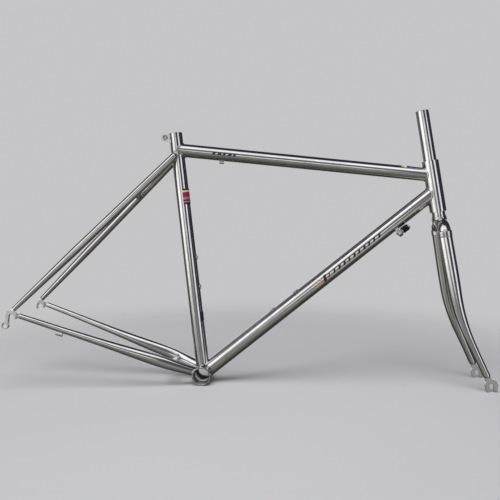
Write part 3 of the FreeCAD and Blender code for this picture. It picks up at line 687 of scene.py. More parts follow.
def split_tube_mesh(name, bar, low):
    """The seat tube: open at the top, and slit behind down to a drilled hole."""
    slit_half = 1.6
    hole_radius = 2.4
    hole_at = SEAT_LENGTH - 42.0
    heights = np.concatenate([
        np.linspace(low.max() + 4, hole_at - 6, 48),
        np.linspace(hole_at - 5, hole_at - hole_radius, 6),
        hole_at - hole_radius * np.cos(np.linspace(0, math.pi, 15)[1:-3]),
        np.linspace(hole_at + 4, SEAT_LENGTH - BEVEL, 14), [SEAT_LENGTH]])

    def opening(height):
        """Half width of the hole or slit at a height."""
        chord = hole_radius ** 2 - (height - hole_at) ** 2
        drilled = math.sqrt(chord) if chord > 1e-9 else 0.0
        return max(drilled, slit_half) if height > hole_at else drilled

    def row(height, radius, along=None):
        start = math.asin(opening(height) / SEAT[0])
        angles = np.linspace(start, 2 * math.pi - start, AROUND + 1)
        along = np.full(AROUND + 1, height) if along is None else along
        return np.outer(along, bar.axis) + spokes(angles, bar.u, bar.v) * radius

    foot = np.append(low, low[0]) - 0.5
    outer = [row(0.0, SEAT[0], foot)]
    inner = [row(0.0, SEAT[0] - SEAT[1], foot)]
    for height in heights:
        end = height == heights[-1]
        bore = SEAT_REAMED if height > SEAT_LENGTH - REAM_DEPTH else SEAT[0] - SEAT[1]
        outer.append(row(height, SEAT[0] - BEVEL * end))
        inner.append(row(height, bore + BEVEL * end))
    rows = len(outer)
    slit_rows = [i for i in range(1, rows - 1) if opening(heights[i]) > 0]
    faces, spots = two_skins(rows, AROUND + 1, slit_rows)
    walked = np.concatenate([[low.mean()], heights]) * MM
    girth = 2 * math.pi * SEAT[0] * MM
    uvs = [(girth * j / AROUND, walked[i]) for i, j in spots]
    return new_mesh(name, np.array(outer + inner).reshape(-1, 3), faces, uvs)


seat_low, seat_low_normals = met(seat_bar, cad_tree("bottom_bracket_shell"), 100.0, False)
finish("seat_tube", split_tube_mesh("seat_tube", seat_bar, smooth_loop(seat_low)), steel_polished)
weld("weld_seat_tube_foot", seat_bar, seat_low, seat_low_normals, "foot")


# ---------------------------------------------------------------- bottom bracket shell

def thread(pitch, depth, plain):
    """Radius factor of a thread cut outwards from the plain radius, or inwards where depth is
    negative. Parts of the profile with another radius stay smooth."""
    def shape(s, radius, angles):
        if abs(radius - plain) > 1e-6:
            return np.ones(len(angles))
        turns = (s / pitch - angles / (2 * math.pi)) % 1.0
        return 1 + depth * (1 - np.abs(2 * turns - 1)) / radius
    return shape


def shell_mesh():
    """Shell with rounded rims, and a thread tapped from each end to a relief in the middle."""
    half = SHELL_WIDTH / 2
    bore = SHELL_RADIUS - 3.15
    bevel = 0.6
    tapped = 24.0
    outside = [(-half, SHELL_RADIUS - bevel), (-half + bevel, SHELL_RADIUS)]
    outside += [(s, SHELL_RADIUS) for s in np.linspace(-half + 6, half - 6, 12)]
    outside += [(half - bevel, SHELL_RADIUS), (half, SHELL_RADIUS - bevel)]
    right_thread = [(s, bore) for s in np.arange(half - 0.9, half - tapped, -0.2)]
    left_thread = [(-s, bore) for s, _ in reversed(right_thread)]
    relief = [(half - tapped - 1, bore + 0.7), (-half + tapped + 1, bore + 0.7)]
    inside = [(half, bore + 1.1)] + right_thread + relief + left_thread + [(-half, bore + 1.1)]
    return lathe("bottom_bracket_shell", ORIGIN, Y, outside + inside, 120,
                 shape=thread(1.058, 0.55, bore), zero=Z, sharp=50.0)


shell = finish("bottom_bracket_shell", shell_mesh(), steel_polished)
second_material(shell, steel_threads, lambda p: math.hypot(p[0], p[2]) < SHELL_RADIUS - 1.9)


# ---------------------------------------------------------------- stays

def stay_radius(s):
    foot, top, taper = SEATSTAY_SIZES
    return foot + (top - foot) * np.clip(s / taper, 0, 1)


def seatstay_mesh(name, bar, length):
    """A tapered stay with a rounded foot and a domed head. Where the dome would reach
    into the seat tube it lies against the inside of that tube's wall."""
    rings = []
    foot, top = SEATSTAY_SIZES[:2]
    for angle in np.linspace(0.2, math.pi / 2, 6)[:-1]:
        rings.append(bar.at(-foot * 0.5 * math.cos(angle), foot * (1 - math.sin(angle))))
    for s in (*np.linspace(0, length - 40, 70), *np.linspace(length - 39, length, 50)):
        rings.append(bar.at(s))
    for angle in np.linspace(0, math.pi / 2 - 0.12, 12)[1:]:
        rings.append(bar.at(length + top * math.sin(angle), top * (1 - math.cos(angle))))
    return skin(name, [hugging_seat_tube(ring) for ring in rings])


def hugging_seat_tube(points):
    """Points inside the seat tube moved out to the middle of its wall."""
    along = points @ SEAT_UP
    across = points - np.outer(along, SEAT_UP)
    distance = np.linalg.norm(across, axis=1)
    wanted = np.where(along > 0, np.maximum(distance, SEAT[0] - SEAT[1] / 2), distance)
    return np.outer(along, SEAT_UP) + across * (wanted / distance)[:, None]


def seatstay(node, side, seat_tree):
    foot = both_sides(SEATSTAY_FOOT, side)
    line = both_sides(SEATSTAY_HEAD, side) - foot
    length = np.linalg.norm(line) - 8.0
    bar = Bar(foot, line, stay_radius)
    finish(node, seatstay_mesh(node, bar, length), steel_polished)
    joint, joint_normals = met(bar, seat_tree, length - 60, True)
    weld("weld_" + node, bar, joint, joint_normals, "stay")


CHAINSTAY_SLOT = 36.0           # how far the dropout's tab reaches into the stay, with its slot


def endless_shell():
    """Search tree of the shell's outside carried on past its ends, so that no ray goes in."""
    line = Bar(-Y * SHELL_WIDTH, Y, SHELL_RADIUS, X, 240)
    return mesh_tree(skin("shell_skin", [line.at(0), line.at(2 * SHELL_WIDTH)]))


def chainstay(node, side, shell_tree):
    """A bent oval stay: rounded over the dropout's tab, and cut to the shell."""
    low_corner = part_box(node)[0]
    rear = np.array([low_corner.x / MM + CHAINSTAY_SLOT, side * 67.0, 78.0])
    front = np.array([-30.0, side * 26.0, 9.0])
    loft = Loft(node, rear, front)
    near_shell = loft.places[-24]
    joint, joint_normals = met(loft, shell_tree, near_shell, True)
    end = np.nan_to_num(smooth_loop(joint), nan=near_shell + 20)
    tip = -8.0 - CHAINSTAY_SLOT
    spot = loft.at(tip)
    middle = spot.mean(axis=0)
    rings = [
        middle - loft.axis * 3.4 * math.cos(angle) + (spot - middle) * math.sin(angle)
        for angle in np.linspace(0.25, math.pi / 2, 8)[:-1]]
    rings += [loft.at(tip + (end + 0.8 - tip) * share) for share in np.linspace(0, 1, 150)]
    finish(node, skin(node, rings), steel_polished)
    weld("weld_" + node, loft, joint, joint_normals, "foot")


seat_search = cad_tree("seat_tube")
shell_search = endless_shell()
for side_name, side in SIDES:
    seatstay(side_name + "_seatstay", side, seat_search)
for side_name, side in SIDES:
    chainstay(side_name + "_chainstay", side, shell_search)


# ---------------------------------------------------------------- bridges

def bridge(name, bars, mates, welds):
    """Bridge tubes, each between two pieces, as one mesh with a weld at both ends."""
    meshes = []
    for k, (bar, length) in enumerate(bars):
        low, low_normals = met(bar, cad_tree(mates[k]), length / 2, False)
        high, high_normals = met(bar, cad_tree(mates[k + 1]), length / 2, True)
        low_end = np.where(np.isnan(low), -2.0, low)
        high_end = np.where(np.isnan(high), length + 2.0, high)
        meshes.append(tube_mesh(name, bar, 1.0, low_end, high_end, rows=14))
        weld(welds[2 * k], bar, low_end, low_normals, "bridge")
        weld(welds[2 * k + 1], bar, high_end, high_normals, "bridge")
    whole = run_together(name, meshes)
    whole.shade_smooth()
    finish(name, whole, steel_polished)


BRIDGE_MIDDLE = place_of(mounts["brake_bridge_bolt"])
BOLT_AXIS = unit(mounts["brake_bridge_bolt"]["axis"])
STAY_LINE = unit(SEATSTAY_HEAD - SEATSTAY_FOOT)
stay_gap = np.dot(BRIDGE_MIDDLE - SEATSTAY_FOOT, X) / STAY_LINE[0]
half_bridge = (SEATSTAY_FOOT + STAY_LINE * stay_gap)[1]
bridge(
    "brake_bridge",
    [(Bar(BRIDGE_MIDDLE - Y * half_bridge, Y, BRIDGE_RADIUS[0], Z, 64), half_bridge),
     (Bar(BRIDGE_MIDDLE, Y, BRIDGE_RADIUS[0], Z, 64), half_bridge)],
    ["right_seatstay", "brake_bridge_sleeve", "left_seatstay"],
    ["weld_brake_bridge_right", "weld_brake_bridge_sleeve_right",
     "weld_brake_bridge_sleeve_left", "weld_brake_bridge_left"])
sleeve_profile = [
    (-8.5, 3.5), (-8.5, 6.9), (-8.0, 7.4), (-3, 7.4), (3, 7.4), (8.0, 7.4), (8.5, 6.9),
    (8.5, 3.5), (8.1, 3.1), (0, 3.1), (-8.1, 3.1)]
finish(
    "brake_bridge_sleeve", lathe("brake_bridge_sleeve", BRIDGE_MIDDLE, BOLT_AXIS, sleeve_profile),
    steel_polished)

chain_low, chain_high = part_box("chainstay_bridge")
chain_middle = np.array((chain_low + chain_high) / 2) / MM
bridge(
    "chainstay_bridge", [(Bar(chain_middle - Y * 36, Y, BRIDGE_RADIUS[1], Z, 64), 72.0)],
    ["right_chainstay", "left_chainstay"],
    ["weld_chainstay_bridge_right", "weld_chainstay_bridge_left"])


# ---------------------------------------------------------------- cast and cut pieces

def evaluated(mesh, prepare):
    """A mesh with the modifiers applied that prepare(object) gives it."""
    piece = in_scene("work", mesh)
    prepare(piece)
    bpy.context.view_layer.update()
    graph = bpy.context.evaluated_depsgraph_get()
    made = bpy.data.meshes.new_from_object(piece.evaluated_get(graph), depsgraph=graph)
    bpy.data.objects.remove(piece)
    return made


def remeshed(mesh, voxel, passes=0):
    """The same closed shape with points voxel millimetres apart, smoothed so many times."""
    def prepare(piece):
        remesh = piece.modifiers.new("grow", "REMESH")
        remesh.mode = "VOXEL"
        remesh.voxel_size = voxel * MM
        if passes:
            smooth = piece.modifiers.new("ease", "SMOOTH")
            smooth.factor = 0.5
            smooth.iterations = passes

    return evaluated(mesh, prepare)


def rounded_copy(name, meshes, voxel, passes, holes=(), reshape=None):
    """Closed meshes run together, with their edges rounded off as after casting or filing.
    reshape(points) moves the points, in millimetres, before the edges are rounded, and the
    holes are cut clean afterwards."""
    whole = run_together(name, meshes)
    if reshape is not None:
        whole = remeshed(whole, voxel)
        whole.vertices.foreach_set("co", (reshape(points_of(whole)) * MM).ravel())
    made = remeshed(whole, voxel, passes)
    made.name = name
    return tidied(drilled(made, holes), 50.0)


def drilled(mesh, holes):
    """The mesh with round holes, each (start, end, radius), cut out of it."""
    if not holes:
        return mesh
    cutters = []

    def prepare(piece):
        for start, end, radius in holes:
            length = np.linalg.norm(end - start)
            profile = [
                (0, radius * 0.01), (0, radius), (length, radius), (length, radius * 0.01)]
            cutter = in_scene("cutter", lathe(
                "cutter", start, end - start, profile, 48, closed=False, zero=STEER_UP))
            cutters.append(cutter)
            cut = piece.modifiers.new("cut", "BOOLEAN")
            cut.operation = "DIFFERENCE"
            cut.solver = "EXACT"
            cut.object = cutter

    made = evaluated(mesh, prepare)
    for cutter in cutters:
        bpy.data.objects.remove(cutter)
    made.name = mesh.name
    return made


def thinned_tabs(points):
    """A dropout's points with the tabs that run into the stays made thinner than its faces."""
    middle = 68.3 * np.sign(points[:, 1].mean())
    ahead = points[:, 0] - REAR_AXLE[0] - 8.5
    above = points[:, 2] - REAR_AXLE[2] - 12.0
    share = np.clip(np.maximum(ahead, above) / 5.0, 0, 1)
    share = share * share * (3 - 2 * share)
    points = points.copy()
    points[:, 1] = middle + (points[:, 1] - middle) * (1 - 0.5 * share)
    return points


def cut_piece(node, voxel, passes, body="frame", reshape=None):
    """A dropout, ear or stop: the CAD piece with its edges rounded off."""
    mesh = rounded_copy(node, [cad_mesh(node)], voxel, passes, reshape=reshape)
    finish(node, mesh, steel_satin, body)


for side_name, side in SIDES:
    cut_piece(side_name + "_dropout", 0.32, 9, reshape=thinned_tabs)
    cut_piece(side_name + "_fork_dropout", 0.32, 9, "fork")
cut_piece("seat_clamp_ears", 0.3, 8)
for stop in ("down_tube_cable_stop", "chainstay_cable_stop", "top_tube_cable_stop"):
    cut_piece(stop, 0.3, 4)


# ---------------------------------------------------------------- fasteners

def hexagon(across_flats):
    """Radius of a hexagon in each direction."""
    def radius(angles):
        return across_flats / 2 / np.cos((angles + math.pi / 6) % (math.pi / 3) - math.pi / 6)
    return radius


def clamp_bolt_mesh(start, length):
    """Button head with a hexagon socket, and the shank that runs on into the nut."""
    head = 5.2
    radius = 5.0
    edge = 1.3
    key = 2.5                   # half of the socket's size across its flats
    socket = hexagon(2 * key)

    def shape(s, size, angles):
        return socket(angles) / size if abs(size - key) < 1e-6 else np.ones(len(angles))

    profile = [(3.3, 0.05), (3.2, key), (0.35, key), (0.0, 3.25)]
    profile += [
        (edge - edge * math.sin(a), radius - edge + edge * math.cos(a))
        for a in np.linspace(math.pi / 2, 0, 7)]
    profile += [(head - 0.3, radius), (head, radius - 0.3), (head, 3.0)]
    profile += [(length - 0.4, 3.0), (length, 2.6), (length, 0.05)]
    return lathe("seat_clamp_bolt", start, Y, profile, 72, closed=False, shape=shape, zero=X)


def clamp_nut_mesh(start, width):
    """Round nut with a domed edge, open where the bolt's end shows."""
    profile = [(0, 3.05), (0, 4.7), (0.3, 5.0)]
    profile += [
        (width - 1.2 + 1.2 * math.sin(a), 3.8 + 1.2 * math.cos(a))
        for a in np.linspace(0, math.pi / 2, 7)]
    profile += [(width, 3.5), (width - 0.45, 3.05)]
    return lathe("seat_clamp_nut", start, Y, profile, 64, zero=X)


for node, maker in (("seat_clamp_bolt", clamp_bolt_mesh), ("seat_clamp_nut", clamp_nut_mesh)):
    low_corner, high_corner = (np.array(corner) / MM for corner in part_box(node))
    middle = (low_corner + high_corner) / 2
    start = np.array([middle[0], low_corner[1], middle[2]])
    finish(node, maker(start, high_corner[1] - low_corner[1]), steel_turned)


def bosses(tube_name, tube):
    """Threaded inserts of one tube, as one mesh: flange, rounded rim and tapped hole."""
    level = tube.radius(0)
    bore = 2.1
    profile = [(level - 8.0, 2.3), (level - 8.0, 4.2), (level - 0.9, 4.2), (level - 0.9, 5.6)]
    profile += [(level + 1.1, 5.6), (level + 1.4, 5.3), (level + 1.5, 4.9), (level + 1.5, 2.9)]
    profile += [(s, bore) for s in np.arange(level + 0.9, level - 7.6, -0.16)]
    meshes = []
    for number in (1, 2):
        mount = mounts[f"{tube_name}_boss_{number}"]
        outward = unit(mount["axis"])
        base = place_of(mount) - outward * np.dot(place_of(mount) - tube.start, outward)
        meshes.append(lathe("boss", base, outward, profile, 56, shape=thread(0.8, 0.4, bore)))
    node = tube_name + "_bosses"
    whole = run_together(node, meshes)
    whole.shade_smooth()
    whole.set_sharp_from_angle(angle=math.radians(45))
    finish(node, whole, steel_turned)


bosses("seat_tube", seat_bar)
bosses("down_tube", down_bar)


# ---------------------------------------------------------------- adjusters

KNURLS = 18
KNURL_DEPTH = 0.085             # over the barrel's radius
ADJUSTER_BEHIND = 24.5          # from the seat in the stop back to the adjuster's own origin
ADJUSTER_FACE = 11.0            # these along the adjuster: barrel's face, its end, the ferrule's
ADJUSTER_END = 26.0
ADJUSTER_TIP = 29.0
RING_AT = 8.6


def knurled(start, end):
    """Radius factor with grooves along the barrel between two distances."""
    def shape(s, radius, angles):
        if not start < s < end:
            return np.ones(len(angles))
        wave = 0.5 + 0.5 * np.cos(KNURLS * angles)
        return 1 - KNURL_DEPTH * np.clip(1 - 2.2 * wave, 0, 1)
    return shape


def barrel_mesh(name, start):
    """Threaded stem, waist, knurled barrel with bevelled ends, and the housing's ferrule."""
    face, end, tip = ADJUSTER_FACE, ADJUSTER_END, ADJUSTER_TIP
    profile = [(-1.5, 1.1), (-1.5, 2.1), (-1.1, 2.5)]
    profile += [(s, 2.5) for s in np.arange(-0.9, face - 0.8, 0.2)]
    profile += [(face - 0.6, 4.0), (face - 0.3, 4.4), (face + 1.1, 4.4), (face + 1.2, 5.5)]
    profile += [(face + 1.9, 6.2), (face + 2.0, 6.2)]
    profile += [(s, 6.2) for s in np.linspace(face + 2.3, end - 1.2, 18)]
    profile += [(end - 0.9, 6.2), (end - 0.8, 6.2), (end, 5.4), (end, 4.6), (tip - 0.5, 4.6)]
    profile += [(tip, 4.1), (tip, 3.0), (tip - 0.45, 2.55), (tip - 9, 2.55), (tip - 9, 1.1)]
    threads = thread(0.8, -0.35, 2.5)
    ribs = knurled(face + 2.1, end - 1.0)

    def shape(s, radius, angles):
        return threads(s, radius, angles) * ribs(s, radius, angles)

    return lathe(name, start, DOWN_AXIS, profile, 144, shape=shape, zero=DOWN_BELOW, sharp=45.0)


RING_PROFILE = [(0, 2.7), (0, 4.5), (0.3, 4.8), (1.2, 4.8), (1.5, 4.5), (1.5, 2.7)]


def adjuster(side_name):
    """Barrel, dark from its waist to its end, and the thin lock ring behind it."""
    body = side_name + "_adjuster"
    start = place_of(mounts[body + "_seat"]) - DOWN_AXIS * ADJUSTER_BEHIND
    barrel = finish(
        body + "_barrel", barrel_mesh(body + "_barrel", start), steel_turned, body)

    def dyed(point):
        along = np.dot(point - start, DOWN_AXIS)
        off_axis = np.linalg.norm(np.cross(point - start, DOWN_AXIS))
        return ADJUSTER_FACE + 1.1 < along < ADJUSTER_END + 0.05 and off_axis > 4.7

    second_material(barrel, barrel_black, dyed)
    ring = lathe(body + "_ring", start + DOWN_AXIS * RING_AT, DOWN_AXIS, RING_PROFILE,
                 zero=DOWN_BELOW)
    finish(body + "_ring", ring, steel_turned, body + "_slide")


for side_name, side in SIDES:
    adjuster(side_name)


# ---------------------------------------------------------------- fork

def on_steerer(height, ahead=0.0, y=0.0):
    """A point from the head tube's lower end, up the steering axis."""
    return HEAD_LOW + STEER_UP * height + STEER_FRONT * ahead + Y * y


FRONT_AXLE = place_of(mounts["front_axle_slots"])
BEND = math.radians(15.0)       # of the blades' ends, forward from the steering axis
BLADE_TAIL = STEER_FRONT * math.sin(BEND) - STEER_UP * math.cos(BEND)
BLADE_TO_AXLE = 21.5
BOLT_AT = on_steerer(-25.0)
BOLT_HOLE = (BOLT_AT - STEER_FRONT * 30, BOLT_AT + STEER_FRONT * 30, 3.1)


def steerer_profile():
    """Outside with the crown race's seat, bevelled rims, and the bore."""
    profile = [(STEERER_FOOT, STEERER_BORE + 0.3), (STEERER_FOOT, STEERER_BASE - 0.3)]
    profile += [(STEERER_FOOT + 0.3, STEERER_BASE), (RACE_TOP - 0.3, STEERER_BASE)]
    profile += [(RACE_TOP, STEERER_BASE - 0.3), (RACE_TOP, STEERER_RADIUS)]
    profile += [(s, STEERER_RADIUS) for s in np.linspace(RACE_TOP + 4, STEERER_TOP - 0.5, 40)]
    profile += [(STEERER_TOP, STEERER_RADIUS - 0.5), (STEERER_TOP, STEERER_BORE + 0.4)]
    profile += [(s, STEERER_BORE) for s in np.linspace(STEERER_TOP - 0.4, STEERER_FOOT + 0.3, 8)]
    return profile


finish(
    "steerer_tube", lathe("steerer_tube", HEAD_LOW, STEER_UP, steerer_profile(), AROUND),
    steel_polished, body="fork")


def oval_ring(depth, sideways, turn, ahead, thick, around=64):
    """Oval section of the crown: where it is, how far its path is turned below level, and its
    half sizes fore and aft and across the path."""
    angles = np.linspace(0, 2 * math.pi, around, endpoint=False)
    side = math.copysign(1.0, sideways)
    across = STEER_UP * math.cos(turn) + Y * (side * math.sin(turn))
    return on_steerer(-depth, 0, sideways) + spokes(angles, STEER_FRONT * ahead, across * thick)


# Sections from the crown's middle out to a leg: sideways, below the head tube, degrees that
# the path is turned below level, half size fore and aft, half thickness
SHOULDER = [
    (0.5, 23.0, 4, 14.8, 10.2), (9.0, 23.6, 8, 14.8, 10.4), (18.0, 26.2, 24, 14.4, 10.4),
    (25.5, 30.6, 44, 13.9, 10.5), (30.8, 36.8, 66, 13.5, 10.7), (32.8, 43.0, 84, 13.4, 10.9),
    (33.0, 50.0, 90, 13.4, 10.9)]


def shoulder_mesh(side):
    """One arm of the crown, swept through its sections."""
    stations = np.array(SHOULDER, float)
    places = np.linspace(0, len(stations) - 1, 48)
    rows = np.stack(
        [np.interp(places, range(len(stations)), stations[:, k]) for k in range(5)], axis=1)
    rows = eased(rows, 30)
    return skin("shoulder", [
        oval_ring(depth, side * y, math.radians(turn), ahead, thick)
        for y, depth, turn, ahead, thick in rows])


def collar_mesh(side):
    """The socket that a blade goes into."""
    profile = [(39.9, 0.6), (40.4, 0.1), (41.0, 0.0), (51.8, 0.0), (52.6, 0.2), (53.0, 0.7)]
    return skin("collar", [
        oval_ring(depth, side * 33.0, math.pi / 2, 14.9 - less, 11.1 - less)
        for depth, less in profile])


def crown_mesh():
    """Race seat's shoulder, two sloping shoulders, and a collar on each leg, run together."""
    neck = [(-35.0, 12.0), (-34.0, 14.5), (-30.0, 15.6), (-22, 16.0), (-12.0, 16.2), (-11.2, 15.7),
            (-11.2, 12.0)]
    parts = [lathe("neck", HEAD_LOW, STEER_UP, neck, 96, closed=False)]
    for side in (1, -1):
        parts += [shoulder_mesh(side), collar_mesh(side)]
    return rounded_copy("fork_crown", parts, 0.5, 14, [BOLT_HOLE])


finish("fork_crown", crown_mesh(), steel_cast, body="fork")


def fork_blade(node, side):
    """A curved, tapering oval blade with a domed end and a vent hole above the dropout."""
    top_point = on_steerer(-58.0, 0, 33.3 * side)
    depths = (points_of(cad_mesh(node)) - HEAD_LOW) @ STEER_UP
    length = -58.0 - 16.0 - depths.min()
    loft = Loft(node, top_point, top_point - STEER_UP * length, reach=60.0)
    rings = [loft.at(s) for s in np.linspace(-13.0, length + 8.0, 130)]
    last = rings[-1]
    middle = last.mean(axis=0)
    lean = unit(middle - rings[-3].mean(axis=0))
    for angle in np.linspace(0, math.pi / 2 - 0.15, 10)[1:]:
        rings.append(middle + lean * 6.5 * math.sin(angle) + (last - middle) * math.cos(angle))
    vent = both_sides(FRONT_AXLE - BLADE_TAIL * BLADE_TO_AXLE + Y * 52.7, side)
    mesh = drilled(skin(node, rings), [(vent - Y * 12, vent + Y * 12, 2.0)])
    finish(node, tidied(mesh), steel_polished, body="fork")


for side_name, side in SIDES:
    fork_blade(side_name + "_fork_blade", side)


# ---------------------------------------------------------------- marks

FILM_LIFT = 0.09


def patch_mesh(name, bar, low, high, start, end, slant=0.0, rows=10):
    """A thin curved film on a tube, between two distances and two angles in degrees. slant
    shifts its far edge along the tube."""
    angles = np.radians(np.linspace(start, end, max(4, int(abs(end - start) / 5))))
    outward = spokes(angles, bar.u, bar.v)
    share = (angles - angles[0]) / (angles[-1] - angles[0])
    grid = []
    for height in (bar.radius(0) + FILM_LIFT, bar.radius(0) - 0.05):
        for s in np.linspace(low, high, rows):
            along = s + slant * share
            grid.append(bar.start + np.outer(along, bar.axis) + outward * height)
    faces = two_skins(rows, len(angles), range(rows - 1))[0]
    return new_mesh(name, np.array(grid).reshape(-1, 3), faces)


def right_side(bar, toward):
    """Turns degrees from a tube's right side, positive toward a direction, into its angle."""
    right = math.degrees(math.atan2(np.dot(-Y, bar.v), np.dot(-Y, bar.u)))
    turn = math.copysign(1.0, np.dot(np.cross(bar.axis, -Y), toward))
    return lambda degrees: right + degrees * turn


def mark(name, bar, turned, span, sweep, film, slant=0.0):
    """A film over a span of distances and a sweep of degrees from the tube's right side."""
    mesh = patch_mesh(name, bar, *span, turned(sweep[0]), turned(sweep[1]), slant)
    add(name, mesh, "frame", film)


# Coloured bands round the front and right side of the seat tube
on_seat = right_side(seat_bar, SEAT_FRONT)
BANDS = [
    ("black_low", (368.0, 372.0), film_dark), ("rose_low", (372.0, 375.0), film_rose),
    ("dark_low", (375.0, 378.0), film_dark), ("rose_high", (378.0, 383.5), film_rose),
    ("red", (383.5, 394.0), film_red), ("cream", (394.0, 397.8), film_cream),
    ("black_high", (397.8, 401.5), film_dark)]
for band, span, film in BANDS:
    mark("band_" + band, seat_bar, on_seat, span, (8, 128), film)
mark("seat_tube_patch", seat_bar, on_seat, (114.0, 134.0), (46, 112), film_dark)

# Slanted bars along the right side of the down tube
on_down = right_side(down_bar, DOWN_BELOW)
for number, length in enumerate((7, 3, 5, 6, 6, 5, 6, 5, 6, 5, 5, 6)):
    low = 337.0 + 13.4 * number
    tall = 24 if number == 0 else 15
    mark(f"down_tube_bar_{number + 1:02d}", down_bar, on_down, (low, low + length),
         (-(tall + 1), tall - 1), film_dark, slant=-6.0)
for number, low in enumerate((320.0, 327.5)):
    mark(f"down_tube_sliver_{number + 1}", down_bar, on_down, (low, low + 2.6), (-20, 22),
         film_gold, slant=-8.0)

# Short dashes on the right side of the top tube
on_top = right_side(top_bar, TOP_BELOW)
for number in range(5):
    low = 79.0 + 11.0 * number
    mark(f"top_tube_dash_{number + 1}", top_bar, on_top,
         (low, low + (8.0 if number % 2 else 6.0)), (-9, 14), film_dark, slant=-3.0)

# Small coloured squares on top of the top tube, near the head
for number, film in enumerate((film_blue, film_gold, film_cream, film_dark, film_blue)):
    low = 474.0 + 5.6 * number
    mark(f"top_tube_square_{number + 1}", top_bar, on_top, (low, low + 5.4), (-84, -46), film)


# ---------------------------------------------------------------- studio

CAMERA_AT = np.array([160.76, -1310.01, 400.89])
CAMERA_YAW = math.radians(-0.78)
CAMERA_PITCH = math.radians(-2.76)
CAMERA_ROLL = math.radians(8.29)
FOCAL = 1.2184                  # over the picture's width
SHIFT = (-0.0813, -0.0424)
BACKDROP = (0.56, 0.56, 0.575, 1)
DIM_BELOW = (0.056, 0.055, 0.049, 1)    # what the steel sees between the softboxes
DIM_ABOVE = (0.04, 0.036, 0.055, 1)


def axes_matrix(columns, origin):
    """Placement whose axes are three unit vectors, with its origin in millimetres."""
    matrix = Matrix.Identity(4)
    for row in range(3):
        for column in range(3):
            matrix[row][column] = columns[column][row]
        matrix[row][3] = origin[row] * MM
    return matrix


def make_camera():
    data = bpy.data.cameras.new("camera")
    data.sensor_width = 36.0
    data.lens = 36.0 * FOCAL
    data.shift_x, data.shift_y = SHIFT
    data.clip_start = 0.05
    data.clip_end = 50.0
    camera = in_scene("camera", data)
    ahead = np.array([
        math.sin(CAMERA_YAW) * math.cos(CAMERA_PITCH),
        math.cos(CAMERA_YAW) * math.cos(CAMERA_PITCH), math.sin(CAMERA_PITCH)])
    level = np.array([math.cos(CAMERA_YAW), -math.sin(CAMERA_YAW), 0.0])
    upright = np.cross(level, ahead)
    right = level * math.cos(CAMERA_ROLL) + upright * math.sin(CAMERA_ROLL)
    up = upright * math.cos(CAMERA_ROLL) - level * math.sin(CAMERA_ROLL)
    camera.matrix_world = axes_matrix((right, up, -ahead), CAMERA_AT)
    bpy.context.scene.camera = camera


# Softboxes seen in the steel: azimuth and elevation in degrees (azimuth 0 is -Y, 90 is +X),
# half width, half height, softness of the edge, colour and brightness
SOFTBOXES = [
    (-47, 11, 18, 27, 11, (1.0, 0.995, 0.985), 1.36),
    (-22, 30, 6, 7, 4, (1.0, 0.995, 0.985), 0.6),
    (-62, -15, 18, 6, 4, (1.0, 0.99, 0.97), 0.8),
    (47, 9, 12, 12, 3, (0.93, 0.95, 1.0), 1.1),
    (-14, 52, 43, 17, 6, (0.955, 0.965, 1.0), 1.34),
    (-2, 1, 10, 6, 3, (0.985, 1.0, 0.96), 1.05),
    (-16, 2, 5, 6, 3, (1.0, 1.0, 0.98), 0.4),
    (38, -25, 14, 6, 6, (1.0, 0.96, 0.94), 0.24),
    (180, 10, 28, 20, 6, (1.0, 0.99, 0.97), 0.8),
    (-132, 10, 32, 30, 14, (0.96, 0.96, 1.0), 0.15),
    (-6, 22, 20, 8, 7, (0.98, 0.99, 1.0), 0.16),
    (8, -18, 46, 14, 10, (0.99, 1.0, 0.95), 0.2),
    (-64, -34, 16, 11, 8, (1.0, 0.97, 0.95), 0.42),
    (0, -45, 62, 22, 12, (0.98, 1.0, 0.92), 0.11),
    (18, 2, 9, 22, 6, (0.98, 0.98, 0.94), 0.04)]


def box_mask(graph, azimuth, elevation, softbox):
    """How much of a softbox is seen in a direction, from 0 to 1."""
    centre, height, half_width, half_height, soft = softbox[:5]
    turned = graph.math("WRAP", graph.math("SUBTRACT", azimuth, float(centre)), -180.0)
    turned.node.inputs[2].default_value = 180.0
    across = graph.ramp(
        graph.math("ABSOLUTE", turned), half_width - soft, half_width + soft, 1, 0)
    raised = graph.math("ABSOLUTE", graph.math("SUBTRACT", elevation, float(height)))
    upright = graph.ramp(raised, half_height - soft, half_height + soft, 1, 0)
    return graph.math("MULTIPLY", across, upright)


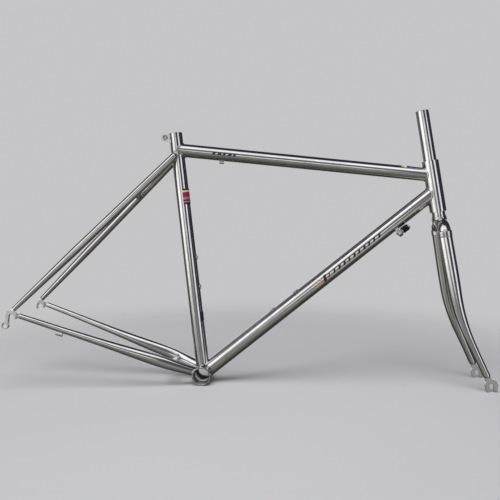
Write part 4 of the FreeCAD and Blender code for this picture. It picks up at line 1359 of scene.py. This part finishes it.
def make_world():
    """Softboxes round the object in reflections, and a plain pale ground to the camera."""
    world = bpy.data.worlds.new("studio")
    world.use_nodes = True
    bpy.context.scene.world = world
    world.node_tree.nodes.clear()
    graph = Graph(world.node_tree)
    direction = graph.node("ShaderNodeTexCoord").outputs["Generated"]
    split = graph.node("ShaderNodeSeparateXYZ", None, Vector=direction)
    x, y, z = split.outputs[:3]
    backward = graph.math("MULTIPLY", y, -1.0)
    azimuth = graph.math("MULTIPLY", graph.math("ARCTAN2", x, backward), 180 / math.pi)
    elevation = graph.math("MULTIPLY", graph.math("ARCSINE", z), 180 / math.pi)
    total = graph.blend(graph.ramp(elevation, -30.0, 5.0, 0.0, 1.0), DIM_BELOW, DIM_ABOVE)
    for softbox in SOFTBOXES:
        colour, strength = softbox[5:]
        lit = graph.node(
            "ShaderNodeVectorMath", {"operation": "SCALE"}, _0=[c * strength for c in colour],
            Scale=box_mask(graph, azimuth, elevation, softbox))
        total = graph.node(
            "ShaderNodeVectorMath", {"operation": "ADD"}, _0=total, _1=lit.outputs[0]).outputs[0]
    glow = graph.node("ShaderNodeBackground", None, Color=total)
    plain = graph.node("ShaderNodeBackground", None, Color=BACKDROP)
    seen = graph.node("ShaderNodeLightPath").outputs["Is Camera Ray"]
    mixed = graph.node("ShaderNodeMixShader", None, _0=seen, _1=glow.outputs[0],
                       _2=plain.outputs[0])
    output = graph.node("ShaderNodeOutputWorld")
    world.node_tree.links.new(mixed.outputs[0], output.inputs[0])


def standing_plane():
    """Unit normal of the plane that the shell and the fork's tips stand on."""
    tips = np.concatenate([points_of(cad_mesh(s + "_fork_dropout")) for s, _ in SIDES])
    normal = Z
    for _ in range(6):
        tip = tips[np.argmin(tips @ normal)]
        slope = math.atan2(tip[2], tip[0]) + math.asin(SHELL_RADIUS / math.hypot(tip[0], tip[2]))
        normal = np.array([-math.sin(slope), 0, math.cos(slope)])
    return normal


def floor_material():
    """Matt and pale, fading out before the disc's edge."""
    material, graph, shader = start_material(
        "floor", Base_Color=(0.70, 0.70, 0.71, 1), Roughness=0.9, Specular_IOR_Level=0.1)
    spot = graph.node("ShaderNodeTexCoord").outputs["Object"]
    distance = graph.node("ShaderNodeVectorMath", {"operation": "LENGTH"}, _0=spot)
    fade = graph.ramp(distance.outputs["Value"], 0.55, 1.15, 1.0, 0.0)
    graph.put(shader.inputs["Alpha"], fade)
    return material


def make_floor():
    normal = standing_plane()
    bpy.ops.mesh.primitive_circle_add(vertices=96, radius=1.2, fill_type="NGON")
    floor = bpy.context.object
    floor.name = "floor"
    along = np.cross(Y, normal)
    foot = normal * -(SHELL_RADIUS + 0.2) + along * 110.0
    floor.matrix_world = axes_matrix((along, Y, normal), foot)
    floor.data.materials.append(floor_material())
    floor.visible_glossy = False
    floor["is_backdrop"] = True


def make_light():
    """A large soft lamp overhead, for the floor's light and the soft shadow."""
    data = bpy.data.lights.new("overhead", "AREA")
    data.shape = "DISK"
    data.size = 1.6
    data.energy = 26.0
    lamp = in_scene("overhead", data)
    lamp.location = (-0.3, -0.7, 2.1)
    aim = Vector((0.1, 0.0, 0.1)) - lamp.location
    lamp.rotation_mode = "QUATERNION"
    lamp.rotation_quaternion = aim.to_track_quat("-Z", "Y")
    lamp.visible_glossy = False


bpy.context.scene.view_settings.view_transform = "Standard"
make_camera()
make_world()
make_floor()
make_light()

low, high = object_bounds()
